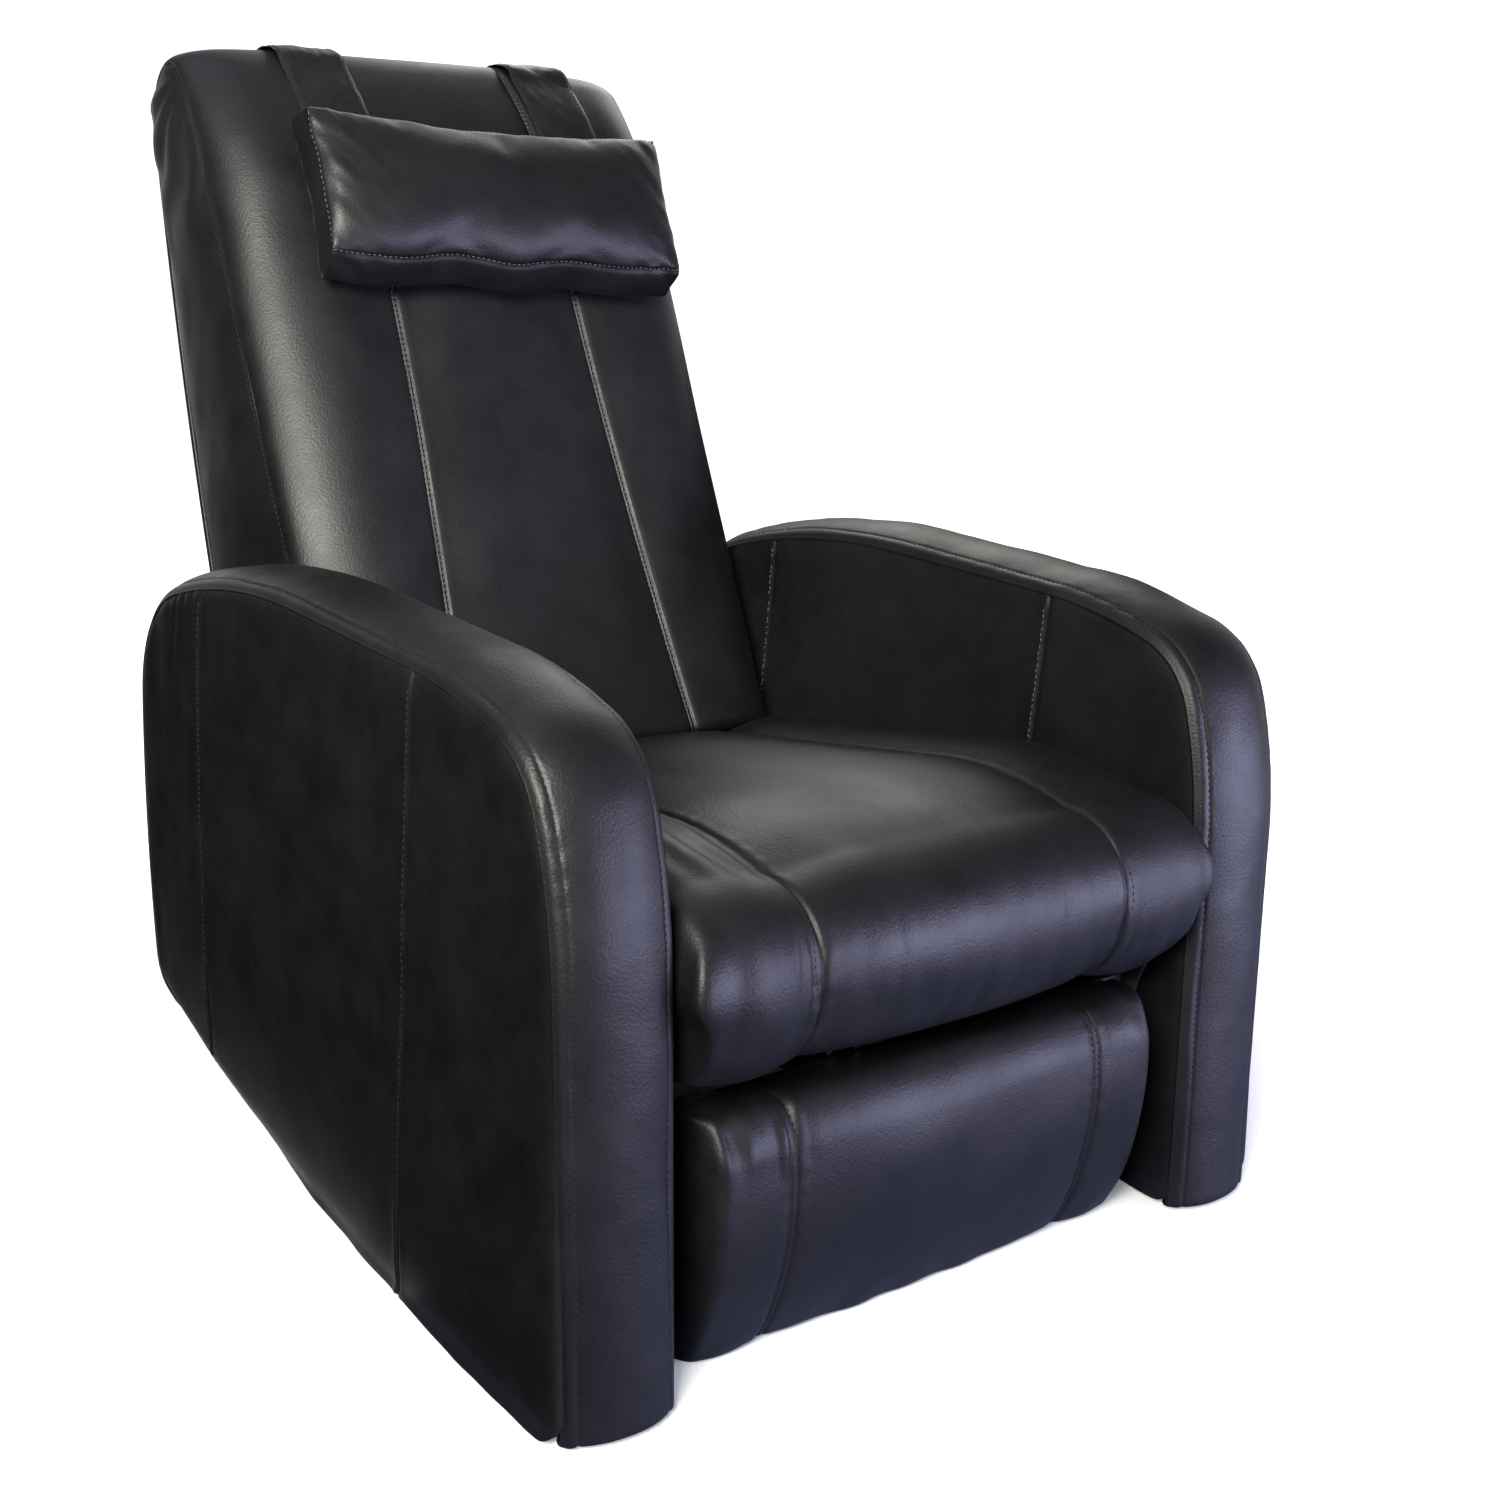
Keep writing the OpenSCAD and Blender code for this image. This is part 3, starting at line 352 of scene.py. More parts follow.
def stitches(name, rows, cover, sink=0.0):
    """Rows of thread, each stitch a short bead that dips into the leather at both ends."""
    base = points_of(cover)
    tree = BVHTree.FromPolygons(base.tolist(), [tuple(p.vertices) for p in cover.data.polygons])
    sides, spans = 6, (-1.0, -0.8, -0.3, 0.3, 0.8, 1.0)
    girth = (0.25, 0.8, 1.0, 1.0, 0.8, 0.25)
    dip = (-1.1, -0.35, 0.25, 0.25, -0.35, -1.1)
    points, faces = [], []
    for row in rows:
        row = np.asarray(row, float)
        step = np.linalg.norm(np.diff(row, axis=0), axis=1)
        along = np.concatenate([[0], np.cumsum(step)])
        count = int(along[-1] / stitch_pitch)
        for at in (np.arange(count) + 0.5) * stitch_pitch:
            middle = [np.interp(at, along, row[:, k]) for k in range(3)]
            ahead = [np.interp(at + 0.002, along, row[:, k]) for k in range(3)]
            hit, normal, _, _ = tree.find_nearest(Vector(middle))
            beyond, _, _, _ = tree.find_nearest(Vector(ahead))
            if hit is None or (beyond - hit).length < 1e-6:
                continue
            way = (beyond - hit).normalized()
            across = way.cross(normal).normalized()
            start = len(points)
            for s, g, d in zip(spans, girth, dip):
                centre = hit + way * (s * stitch_length / 2) + normal * (thread_radius * d - sink)
                points += [centre + (across * math.cos(a) + normal * math.sin(a)) * thread_radius * g
                           for a in np.arange(sides) * 2 * math.pi / sides]
            for r in range(len(spans) - 1):
                faces += [(start + r * sides + k, start + r * sides + (k + 1) % sides,
                           start + (r + 1) * sides + (k + 1) % sides, start + (r + 1) * sides + k)
                          for k in range(sides)]
            faces += [tuple(start + k for k in reversed(range(sides))),
                      tuple(start + (len(spans) - 1) * sides + k for k in range(sides))]
    mesh = bpy.data.meshes.new(name)
    mesh.from_pydata([tuple(p) for p in points], [], faces)
    thread = add_object(name, mesh)
    face_out(thread)
    return thread


def node_chain(material):
    """The nodes, links and main shader of a new material."""
    material.use_nodes = True
    tree = material.node_tree
    return tree.nodes, tree.links, tree.nodes["Principled BSDF"]


def ramp(nodes, low, high, start=0.0, end=1.0):
    """A colour ramp from one colour to another."""
    blend = nodes.new("ShaderNodeValToRGB")
    for stop, position, colour in zip(blend.color_ramp.elements, (start, end), (low, high)):
        stop.position, stop.color = position, (*colour, 1)
    return blend


def noise_node(nodes, links, where, scale, detail, roughness=0.55):
    """A noise texture on the object's own coordinates."""
    found = nodes.new("ShaderNodeTexNoise")
    dial(found, Scale=scale, Detail=detail, Roughness=roughness)
    links.new(where, found.inputs["Vector"])
    return found


def leather_finish(name, dark, pale, gloss):
    """Corrected-grain upholstery leather: pebbled grain, fine creases and a patchy satin coat."""
    leather = bpy.data.materials.new(name)
    nodes, links, shader = node_chain(leather)
    where = nodes.new("ShaderNodeTexCoord").outputs["Object"]
    mottle = noise_node(nodes, links, where, 22, 5)
    colour = ramp(nodes, dark, pale, 0.35, 0.72)
    links.new(mottle.outputs["Fac"], colour.inputs["Fac"])
    links.new(colour.outputs["Color"], shader.inputs["Base Color"])
    rub = noise_node(nodes, links, where, 9, 6, 0.62)
    satin = nodes.new("ShaderNodeMapRange")
    dial(satin, From_Min=0.3, From_Max=0.7, To_Min=gloss - 0.05, To_Max=gloss + 0.08)
    links.new(rub.outputs["Fac"], satin.inputs["Value"])
    links.new(satin.outputs["Result"], shader.inputs["Roughness"])
    pebble = nodes.new("ShaderNodeTexVoronoi")
    pebble.feature = "SMOOTH_F1"
    dial(pebble, Scale=430)
    warp = noise_node(nodes, links, where, 160, 3)
    warped = nodes.new("ShaderNodeVectorMath")
    warped.operation = "MULTIPLY_ADD"
    warped.inputs[1].default_value = (0.0022, 0.0022, 0.0022)
    links.new(warp.outputs["Color"], warped.inputs[0])
    links.new(where, warped.inputs[2])
    links.new(warped.outputs["Vector"], pebble.inputs["Vector"])
    crease = noise_node(nodes, links, where, 75, 6, 0.6)
    hide = noise_node(nodes, links, where, 26, 3, 0.5)
    below = None
    for height, strength, distance in ((pebble.outputs["Distance"], 0.50, 0.00040),
                                       (crease.outputs["Fac"], 0.16, 0.0006),
                                       (hide.outputs["Fac"], 0.10, 0.0016)):
        bump = nodes.new("ShaderNodeBump")
        dial(bump, Strength=strength, Distance=distance)
        links.new(height, bump.inputs["Height"])
        if below:
            links.new(below.outputs["Normal"], bump.inputs["Normal"])
        below = bump
    links.new(below.outputs["Normal"], shader.inputs["Normal"])
    dial(shader, Specular_IOR_Level=0.25)
    return leather


black_leather = leather_finish("black_leather", (0.0018, 0.0018, 0.0020),
                               (0.0038, 0.0036, 0.0042), 0.47)


def thread_finish(name, colour):
    """Bonded polyester thread with a slight twist."""
    thread = bpy.data.materials.new(name)
    nodes, links, shader = node_chain(thread)
    where = nodes.new("ShaderNodeTexCoord").outputs["Object"]
    twist = nodes.new("ShaderNodeTexWave")
    dial(twist, Scale=420, Distortion=3)
    links.new(where, twist.inputs["Vector"])
    shade = ramp(nodes, [0.7 * c for c in colour], colour)
    links.new(twist.outputs["Fac"], shade.inputs["Fac"])
    links.new(shade.outputs["Color"], shader.inputs["Base Color"])
    dial(shader, Roughness=0.7, Specular_IOR_Level=0.2)
    return thread


black_thread = thread_finish("black_thread", (0.006, 0.006, 0.0065))
# Painted highlight: this thread is painted mid grey to stand for the glint that a dark glossy thread
# catches along its seams.
thread_painted_glint = thread_finish("thread_painted_glint", (0.060, 0.060, 0.058))


def leather_piece(piece, body, fill, *nodes):
    """Dresses a padded piece, seats it on its body and lets it stand for its solids."""
    piece.data.materials.append(black_leather)
    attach(piece, body)
    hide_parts(*nodes)


def sew(name, rows, cover, finish, sink=0.0):
    """Thread along these rows, which goes where the leather that it is sewn into goes."""
    thread = stitches(name, rows, cover, sink)
    thread.data.materials.append(finish)
    thread.parent = cover


def mirrored(piece, name):
    """The same piece for the other side, with its own mesh."""
    twin = piece.copy()
    twin.data = piece.data.copy()
    twin.name = twin.data.name = name
    bpy.context.collection.objects.link(twin)
    co = points_of(twin)
    co[:, 0] *= -1
    place_points(twin, co)
    operate(twin)
    bpy.ops.object.mode_set(mode="EDIT")
    bpy.ops.mesh.select_all(action="SELECT")
    bpy.ops.mesh.flip_normals()
    bpy.ops.object.mode_set(mode="OBJECT")
    return twin


toe_z = arm_base + toe_radius
toe_y = toe_z * math.tan(math.radians(arm_lean)) + toe_radius / cosine(arm_lean)
toe_run = toe_y * sine(arm_lean) + toe_z * cosine(arm_lean)
arm_front = 0.372
arm_runs = [(toe_radius, 90 + arm_lean, 6), (arm_front - toe_run, 0, 36), (0.478, 16, 14),
            (0.090, 52.7, 12), (0.508, 15.2, 16), (0.208, 0, 22), (0.895, 18.4, 30),
            (0.142, 68.4, 20), (1.388, 12.2, 32), (0.045, 65, 7)]
arm_rear = trace((toe_y, arm_base, -90), arm_runs)[-1]
heel_turn = 270 - arm_rear[2]
heel_radius = (arm_rear[1] - arm_base) / (1 + sine(arm_rear[2]))
heel_steps, sole_steps = 22, 44
arm_heart = np.array([0.430, 0.290])
arm_seams = (0.250, 0.675)


def arm_outline(inset):
    """The whole side view of an arm, closed along its underside."""
    heel = (heel_radius, heel_turn, heel_steps)
    path = trace((toe_y, arm_base + inset, -90), arm_runs + [heel], inset)
    run = path[-1][0] - toe_y
    return path + [(path[-1][0] - run * i / sole_steps, path[-1][1], 270) for i in range(1, sole_steps)]


def arm_panel(name, face_x, crown, roll, side, flare):
    """A flat padded panel: its edge rolls into the seam and its face swells over the foam.

    Along the sole it stays square, and it is fullest low down behind the front edge.
    """
    rings = []

    def ring(path, height, shown):
        points = []
        for y, z in path:
            low = float(fade(z, 0.020, 0.006)) if shown else 0
            full = flare * float(bell(y - 0.14, 0.22) * fade(z, 0.30, 0.0))
            lift = height + (roll - height) * low + full * (1 if shown else 0)
            points.append((face_x + side * lift, y + seam_y, z))
        rings.append(points)

    for inset, rise in ((0.016, -0.012), (0.002, -0.012), (0.0005, -0.006), (0.0008, -0.0025),
                        (0.0022, 0.0), (0.0045, 0.25), (0.008, 0.5), (0.0125, 0.68), (0.017, 0.8)):
        path = [(y, z) for y, z, _ in arm_outline(inset)]
        ring(path, rise if rise <= 0 else roll * rise, rise > -0.01)
    edge = np.array(path)
    for share in np.linspace(0.95, 0.03, 30):
        height = roll * 0.8 + (roll * 0.2 + crown) * (1 - share ** 2.4)
        ring(arm_heart + (edge - arm_heart) * share, height, True)
    return loft(name, rings)


def panel_seams(piece, side, face_x, wrinkle):
    """Sews the two upright seams of a panel and pulls the leather in beside them."""
    finish_mesh(piece)
    co = points_of(piece)
    faced = side * (co[:, 0] - face_x) > -0.002
    y = co[:, 1] - seam_y
    near = faced & (np.min([np.abs(y - s) for s in arm_seams], axis=0) < 0.013)
    finer(piece, near)
    co = points_of(piece)
    y, z = co[:, 1] - seam_y, co[:, 2]
    faced = fade(side * (co[:, 0] - face_x), -0.002, 0.001)
    height = 0.0004 * ripple(co, 0.16, 3) + 0.00006 * ripple(co, 0.045, 4)
    for s in arm_seams:
        d = y - s
        height -= 0.0020 * bell(d, 0.0022)
        height += 0.0007 * bell(d - 0.0050, 0.0035) + 0.0003 * bell(d + 0.006, 0.004)
        height += 0.00012 * bell(d, 0.012) * np.sin(z / 0.0032 + 2.2 * ripple(co, 0.09, 5))
    rear = fade(np.abs(y - 0.715), 0.050, 0.015) * fade(z, 0.26, 0.50)
    fan = (y - 0.700) / (1 + 1.6 * fade(z, 0.56, 0.30))
    height += wrinkle * rear * np.sin(fan / 0.0030 + 0.9 * ripple(co * (1, 1, 0.25), 0.12, 6))
    height += 0.4 * wrinkle * fade(y, 0.70, 0.80) * ripple(co * (1, 1, 0.18), 0.045, 7)
    hem = fade(z, 0.045, 0.006)
    height += 0.0003 * hem * ripple(co * (0.3, 1, 1), 0.055, 8)
    swell(piece, height * faced)


def upright_rows(face_x, side):
    """Lines of thread just behind each upright seam, from under the band to the hem."""
    rows = []
    top = [(y, z) for y, z, _ in arm_outline(0.012)]
    for s in arm_seams:
        high = float(np.mean([z for y, z in top if abs(y - s) < 0.010 and z > arm_heart[1]]))
        rows.append([(face_x + side * 0.012, s + 0.0022 + seam_y, z)
                     for z in np.linspace(arm_base + 0.016, high, 60)])
    return rows


outer_crown, outer_roll, outer_flare = 0.0050, 0.0055, 0.011
right_outer = arm_panel("right_arm_outer_cover", outer_x - 0.002, outer_crown, outer_roll, 1,
                        outer_flare)
panel_seams(right_outer, 1, outer_x - 0.002, 0.0008)
left_outer = mirrored(right_outer, "left_arm_outer_cover")
inner_crown, inner_roll = 0.0008, 0.0032
right_inner = arm_panel("right_arm_inner_cover", inner_x + 0.0022, inner_crown, inner_roll, -1, 0)
panel_seams(right_inner, -1, inner_x + 0.0022, 0.0004)
left_inner = mirrored(right_inner, "left_arm_inner_cover")
for side, outer, inner in (("left", left_outer, left_inner), ("right", right_outer, right_inner)):
    leather_piece(outer, "base", 0.8, f"{side}_arm_outer_panel")
    leather_piece(inner, "base", 0.9, f"{side}_arm_inner_panel")
outer_rows = upright_rows(outer_x, 1)
inner_rows = upright_rows(inner_x, -1)
flip = np.array([-1, 1, 1])


def other_side(rows):
    """The same lines of sewing on the other side."""
    return [np.array(row) * flip for row in rows]


for name, rows, cover, finish in (
        ("right_outer_upright_thread", outer_rows, right_outer, black_thread),
        ("left_outer_upright_thread", other_side(outer_rows), left_outer, black_thread),
        ("right_inner_upright_thread", inner_rows, right_inner, thread_painted_glint),
        ("left_inner_upright_thread", other_side(inner_rows), left_inner, thread_painted_glint)):
    sew(name, rows, cover, finish)

band_crown = 0.0155
band_foam = 0.014
band_end = 255
topstitch = 0.011
band_mid = inner_x + arm_width / 2
band_across = np.sin(np.linspace(math.pi / 2, -math.pi / 2, 35))
# The leather turns under at the foot, over the last few millimetres of the front edge
foot_tuck = ((0.0085, 0.0040), (0.0035, 0.0006), (0.0008, 0.0), (0.0, 0.0035), (0.0, 0.009))
band_path = [((arm_base + up) * math.tan(math.radians(arm_lean)) + tuck, arm_base + up, arm_lean)
             for tuck, up in foot_tuck]
band_path += [p for p in arm_outline(0.0) if 0 < p[2] < band_end]


def band_ring(y, z, heading, crown):
    """The band's section: crowned over the foam, drawn in at both seams, flat underneath."""
    out_y, out_z = -cosine(heading), sine(heading)
    edge = (1 - np.abs(band_across)) * arm_width / 2
    rise = crown * (1 - np.abs(band_across) ** 2.3) - 0.0035 * bell(edge, 0.0025)
    xs = list(band_mid + band_across * arm_width / 2) + [inner_x + 0.001, inner_x + arm_width - 0.001]
    rise = list(rise) + [-band_foam, -band_foam]
    return [(x, y + seam_y + out_y * r, z + out_z * r) for x, r in zip(xs, rise)]


right_band = loft("right_arm_band_cover", [
    band_ring(y, z, h, band_crown * min(1, (band_end + 8 - h) / 40)) for y, z, h in band_path])
finish_mesh(right_band)
co = points_of(right_band)
edge = np.minimum(co[:, 0] - inner_x, outer_x - co[:, 0])
finer(right_band, (edge < 0.017) & (edge > -0.001))
co = points_of(right_band)
edge = np.minimum(co[:, 0] - inner_x, outer_x - co[:, 0])
middle = fade(edge, 0.004, 0.012)
run = ripple(co, 0.12, 11)
pucker = np.sin(np.linalg.norm(co[:, 1:] - (arm_heart + (seam_y, 0)), axis=1) / 0.02 + run)
turn = np.arctan2(co[:, 2] - arm_heart[1], co[:, 1] - seam_y - arm_heart[0])
front_curve = bell(turn - math.radians(140), 0.5)
height = -0.0007 * bell(edge - topstitch, 0.0016) + 0.0003 * bell(edge - topstitch / 2, 0.0028)
height += (0.00008 + 0.00022 * front_curve) * bell(edge - topstitch, 0.006) * np.sin(turn * 72 + 2 * run)
height += middle * (0.0005 * ripple(co, 0.12, 12) + 0.0001 * ripple(co, 0.04, 13))
height += middle * 0.0004 * bell(turn - math.radians(25), 0.5) * ripple(co * (0.35, 1, 1), 0.03, 14)
swell(right_band, height)
left_band = mirrored(right_band, "left_arm_band_cover")
leather_piece(right_band, "base", 0.8, "right_arm_band")
leather_piece(left_band, "base", 0.8, "left_arm_band")
band_rows = []
for x in (inner_x + topstitch, outer_x - topstitch):
    lift = band_crown * (1 - abs((x - band_mid) / (arm_width / 2)) ** 2.3)
    band_rows.append([(x, y - cosine(h) * lift + seam_y,
                       z + sine(h) * lift) for y, z, h in band_path[4:-8]])
sew("right_band_topstitch", band_rows, right_band, black_thread)
sew("left_band_topstitch", other_side(band_rows), left_band, black_thread)

# ---- Seat cushion ----------------------------------------
# One thick foam cushion with two sewn channels, so that it swells into a broad middle and a lobe
# at each side, and rolls down over its front. The leather is pulled in beside the channels.

seat_half = 0.299
seat_low_half = 0.283
seat_round = 0.030
seat_seam = 0.176
seat_rear = 0.598
deck_slope = math.tan(math.radians(6.9))


def puff(piece, pinned, pressure, cap, slack=0.0):
    """Foam presses the leather out between its sewn lines, by no more than the cap."""
    start = points_of(piece)
    sewn = piece.vertex_groups.new(name="sewn")
    sewn.add(np.flatnonzero(pinned).tolist(), 1.0, "REPLACE")
    foam = piece.modifiers.new("foam", "CLOTH")
    cloth = foam.settings
    cloth.quality = 5
    cloth.mass = 0.3
    cloth.tension_stiffness = cloth.compression_stiffness = 25
    cloth.shear_stiffness = 12
    cloth.bending_stiffness = 1.5
    cloth.use_pressure = True
    cloth.uniform_pressure_force = pressure
    cloth.vertex_group_mass = "sewn"
    cloth.effector_weights.gravity = 0
    cloth.shrink_min = -slack
    foam.point_cache.frame_start, foam.point_cache.frame_end = 1, 20
    for now in range(1, 21):
        bpy.context.scene.frame_set(now)
    shown = piece.evaluated_get(bpy.context.evaluated_depsgraph_get())
    end = np.empty(len(shown.data.vertices) * 3)
    shown.data.vertices.foreach_get("co", end)
    piece.modifiers.remove(foam)
    bpy.context.scene.frame_set(1)
    move = end.reshape(-1, 3) - start
    length = np.linalg.norm(move, axis=1)[:, None] + 1e-9
    place_points(piece, start + move * np.minimum(1, cap / length))


def spread(half, marks, gap, fine, reach):
    """Columns from one side to the other, closer together near the marks."""
    at, columns = 0.0, [0.0]
    while at < half - 1e-6:
        near = min(abs(at - m) for m in marks)
        at = min(half, at + (fine if near < reach else gap))
        columns.append(at)
    return [-c for c in columns[:0:-1]] + columns


def held(value):
    """A value held between 0 and 1."""
    return min(1, max(0, value))


def seat_point(x, top, under):
    """A point of the seat's upper skin on this column, from its path over the top and the deck."""
    h = math.radians(top[2])
    t = abs(x)
    front = math.sin(math.pi * held((-top[2] - 104) / 113))
    if t < seat_seam:
        s = (0.008 - 0.002 * front) * (1 - (t / seat_seam) ** 2.6)
    else:
        lobe = math.sin(math.pi * (t - seat_seam) / (seat_half - seat_seam))
        s = (0.009 - 0.005 * front) * lobe ** 1.3
    s += 0.019 * front - 0.0015 * math.exp(-((t - seat_seam) / 0.006) ** 2)
    rounding = seat_round - 0.010 * held((-top[2] - 95) / 20) - 0.006 * held((-top[2] - 150) / 50)
    edge = max(0, (t - seat_half + rounding) / rounding)
    k = 0.45 + 0.55 * math.sqrt(max(0, 1 - edge * edge))
    y = under[0] + (top[0] - under[0]) * k + math.cos(h) * s * k
    z = under[1] + (top[1] - under[1]) * k - math.sin(h) * s * k
    narrow = 1 - (1 - seat_low_half / seat_half) * held((0.348 - z) / 0.024)
    ahead = 1 + 0.036 * float(fade(y, 0.034, 0.006) * fade(z, 0.27, 0.32))
    return (x * narrow * ahead, min(y, seat_rear - 0.002) + seam_y, z)


seat_over = trace((seat_rear, 0.352, -79.1),
                  [(0.351, 0, 30), (0.391, -25, 16), (0.079, -59, 14), (0.108, -54, 14)])
seat_deck_rear = 0.325 - (seat_rear - 0.092) * deck_slope
seat_under = trace((seat_rear, seat_deck_rear, -83.1),
                   [(0.351, 0, 30), (0.155, 0, 16), (0.017, -96.9, 14), (0.040, 0, 14)])
seat_columns = spread(seat_half - 0.0005, (seat_seam, seat_half), 0.012, 0.005, 0.018)
seat_rings = []
for x in seat_columns:
    low = x * seat_low_half / seat_half
    seat_rings.append([seat_point(x, o, u) for o, u in zip(seat_over, seat_under)]
                      + [(low, min(u[0], seat_rear - 0.002) + seam_y, u[1] - 0.0005)
                         for u in seat_under[::-1]])
seat = loft("seat_cover", seat_rings)
co = points_of(seat)
rows, per_row = len(seat_columns), 2 * len(seat_over)
index = np.arange(rows * per_row)
under_side = index % per_row >= len(seat_over)
sewn_line = np.abs(np.abs(co[:, 0]) - seat_seam) < 0.003
rim = np.abs(co[:, 0]) > 0.292
puff(seat, under_side | sewn_line | rim | (co[:, 1] - seam_y > 0.585), 2.0, 0.004)
finish_mesh(seat)
co = points_of(seat)
seat_top_side = co[:, 2] > 0.262
finer(seat, (np.abs(np.abs(co[:, 0]) - seat_seam) < 0.020) & seat_top_side)
co = points_of(seat)
out = normals_of(seat)
x, y, z = co[:, 0], co[:, 1] - seam_y, co[:, 2]
shown = fade(z, 0.262, 0.285) * fade(y, 0.58, 0.54)
faces_front = fade(-out[:, 1], 0.35, 0.85)
d = np.abs(x) - seat_seam
along = np.where(y > 0.08, y, z - 0.38)
height = -0.0024 * bell(d, 0.0018) + 0.0004 * bell(np.abs(d) - 0.0065, 0.0040)
height += 0.00022 * bell(np.abs(d) - 0.004, 0.010) * np.sin(along / 0.0040 + 2.0 * ripple(co, 0.08, 21))
height += 0.0006 * ripple(co * (1, 0.6, 1), 0.14, 22) * (1 - faces_front)
left_folds = fade(-x, 0.186, 0.200) * fade(-x, 0.275, 0.245) * fade(y, 0.04, 0.12) * fade(y, 0.40, 0.26)
fold_width = 0.0052
height += 0.0016 * left_folds * np.sin(x / fold_width + 0.012 / fold_width * np.sin(y / 0.07)
                                       + 0.5 * ripple(co, 0.12, 23))
creases = ripple(co * (1, 0.15, 0.15), 0.020, 24) * ripple(co * (1, 1, 0.3), 0.16, 25)
height += 0.0005 * faces_front * np.clip(creases, -1.2, 1.8)
height += 0.0008 * faces_front * fade(z, 0.34, 0.28) * ripple(co * (1, 0.2, 0.2), 0.030, 26)
tuck = bell(x + 0.262, 0.012) * fade(y, 0.10, 0.03)
height -= 0.0030 * tuck * fade(z, 0.42, 0.36)
swell(seat, height * shown)
leather_piece(seat, "base", 0.85, "seat_cushion")
seam_rows = []
for x in (-seat_seam - 0.0026, seat_seam + 0.0026):
    seam_rows.append([seat_point(x, o, u) for o, u in list(zip(seat_over, seat_under))[4:-7]])
sew("seat_thread", seam_rows, seat, black_thread, 0.0001)

# ---- Footrest ----------------------------------------
# A foam pad on a plywood board. Its leather has two upright seams, each sewn with a double row, and
# it gathers a little where it turns over the upper corners.

foot_half = 0.263
foot_round = 0.013
foot_seam = 0.180
foot_shift = -0.004
board_front = 0.075


def foot_point(x, p):
    """A point of the footrest's skin on this column, from its path up the front."""
    t = abs(x)
    s = 0.0045 * (1 - min(1, t / foot_seam) ** 4) - 0.0012 * math.exp(-((t - foot_seam) / 0.008) ** 2)
    s += 0.002 * math.sin(math.pi * max(0, t - foot_seam) / (foot_half - foot_seam))
    y = p[0] - cosine(p[2]) * s
    z = p[1] + sine(p[2]) * s
    edge = max(0, (t - foot_half + foot_round) / foot_round)
    k = 0.3 + 0.7 * math.sqrt(max(0, 1 - edge * edge))
    return (x + foot_shift, board_front - (board_front - y) * k + seam_y, max(0.002, z))


foot_front = trace((0.050, 0.002, -90),
                   [(0.014, 66, 6), (0.318, 34, 18), (0.060, 35, 10), (0.018, 45, 8)])
foot_columns = spread(foot_half - 0.0005, (foot_seam, foot_half), 0.012, 0.005, 0.018)
foot = loft("footrest_cover", [
    [foot_point(x, p) for p in foot_front]
    + [(x + foot_shift, board_front - 0.0003 + seam_y, max(0.002, p[1])) for p in foot_front[::-1]]
    for x in foot_columns])
co = points_of(foot) - (foot_shift, 0, 0)
index = np.arange(len(foot_columns) * 2 * len(foot_front))
under_side = index % (2 * len(foot_front)) >= len(foot_front)
sewn_line = np.abs(np.abs(co[:, 0]) - foot_seam) < 0.003
puff(foot, under_side | sewn_line | (np.abs(co[:, 0]) > 0.256) | (co[:, 2] < 0.006), 2.0, 0.003)
finish_mesh(foot)
co = points_of(foot) - (foot_shift, 0, 0)
finer(foot, (np.abs(np.abs(co[:, 0]) - foot_seam) < 0.020) & (co[:, 1] - seam_y < 0.070))
co = points_of(foot) - (foot_shift, 0, 0)
x, y, z = co[:, 0], co[:, 1] - seam_y, co[:, 2]
shown = fade(y, 0.073, 0.062)
d = np.abs(x) - foot_seam
height = -0.0012 * bell(np.abs(d) - 0.0032, 0.0014) + 0.0004 * bell(d, 0.0020)
height += 0.0003 * bell(np.abs(d) - 0.010, 0.005)
height += 0.0002 * bell(np.abs(d) - 0.006, 0.007) * np.sin(z / 0.0042 + 2 * ripple(co, 0.07, 31))
height += 0.0005 * ripple(co, 0.12, 32) + 0.0001 * ripple(co * (1, 1, 0.4), 0.04, 33)
corner = fade(z, 0.16, 0.225) * (fade(-x, 0.13, 0.20) + 0.6 * fade(x, 0.15, 0.21))
height += 0.0013 * corner * ripple(co * (1, 0.3, 0.35), 0.018, 34)
hem = fade(z, 0.040, 0.010)
height += 0.0005 * hem * ripple(co * (1, 0.3, 0.3), 0.045, 35)
swell(foot, height * shown)
leather_piece(foot, "footrest", 0.8, "footrest_pad")
seam_rows = [[foot_point(x, p) for p in foot_front[3:-2]]
             for x in (-foot_seam - 0.0032, -foot_seam + 0.0032, foot_seam - 0.0032, foot_seam + 0.0032)]
sew("footrest_thread", seam_rows, foot, black_thread, 0.0002)

# ---- Backrest ----------------------------------------
# Leather over foam on a steel frame: a front pad with two seams that run together towards the top,
# a boxed panel on either side, and a rear panel. Pleats fan out where the boxing meets the head.

back_foot = (0.594, 0.330)
back_lean = math.radians(27)
back_half = 0.280
back_cover = 0.012
back_path = trace((0, 0.020, 0), [(0.636, 0, 40), (0.331, 27.8, 14), (0.0645, 141.8, 30)])
back_turn = back_path[-1]
rear_bow, rear_length = 5.4, 0.726
rear_radius = rear_length / math.radians(2 * rear_bow)
rear_line = trace((back_turn[0], back_turn[1], back_turn[2] - rear_bow),
                  [(rear_radius, 2 * rear_bow, 60)])
seam_headings = (0, 5, 17.6, 27.8, 70, 180)
seam_depths = (0.048, 0.048, 0.036, 0.024, 0.012, 0.010)


def from_back(x, w, u):
    """Backrest axes (across, rearward, up the back) to the row frame."""
    return (x, back_foot[0] + w * math.cos(back_lean) + u * math.sin(back_lean) + seam_y,
            back_foot[1] - w * math.sin(back_lean) + u * math.cos(back_lean))


def to_back(co):
    """Points of a mesh in the backrest's axes."""
    y, z = co[:, 1] - seam_y - back_foot[0], co[:, 2] - back_foot[1]
    return np.stack([co[:, 0], y * math.cos(back_lean) - z * math.sin(back_lean),
                     y * math.sin(back_lean) + z * math.cos(back_lean)], 1)


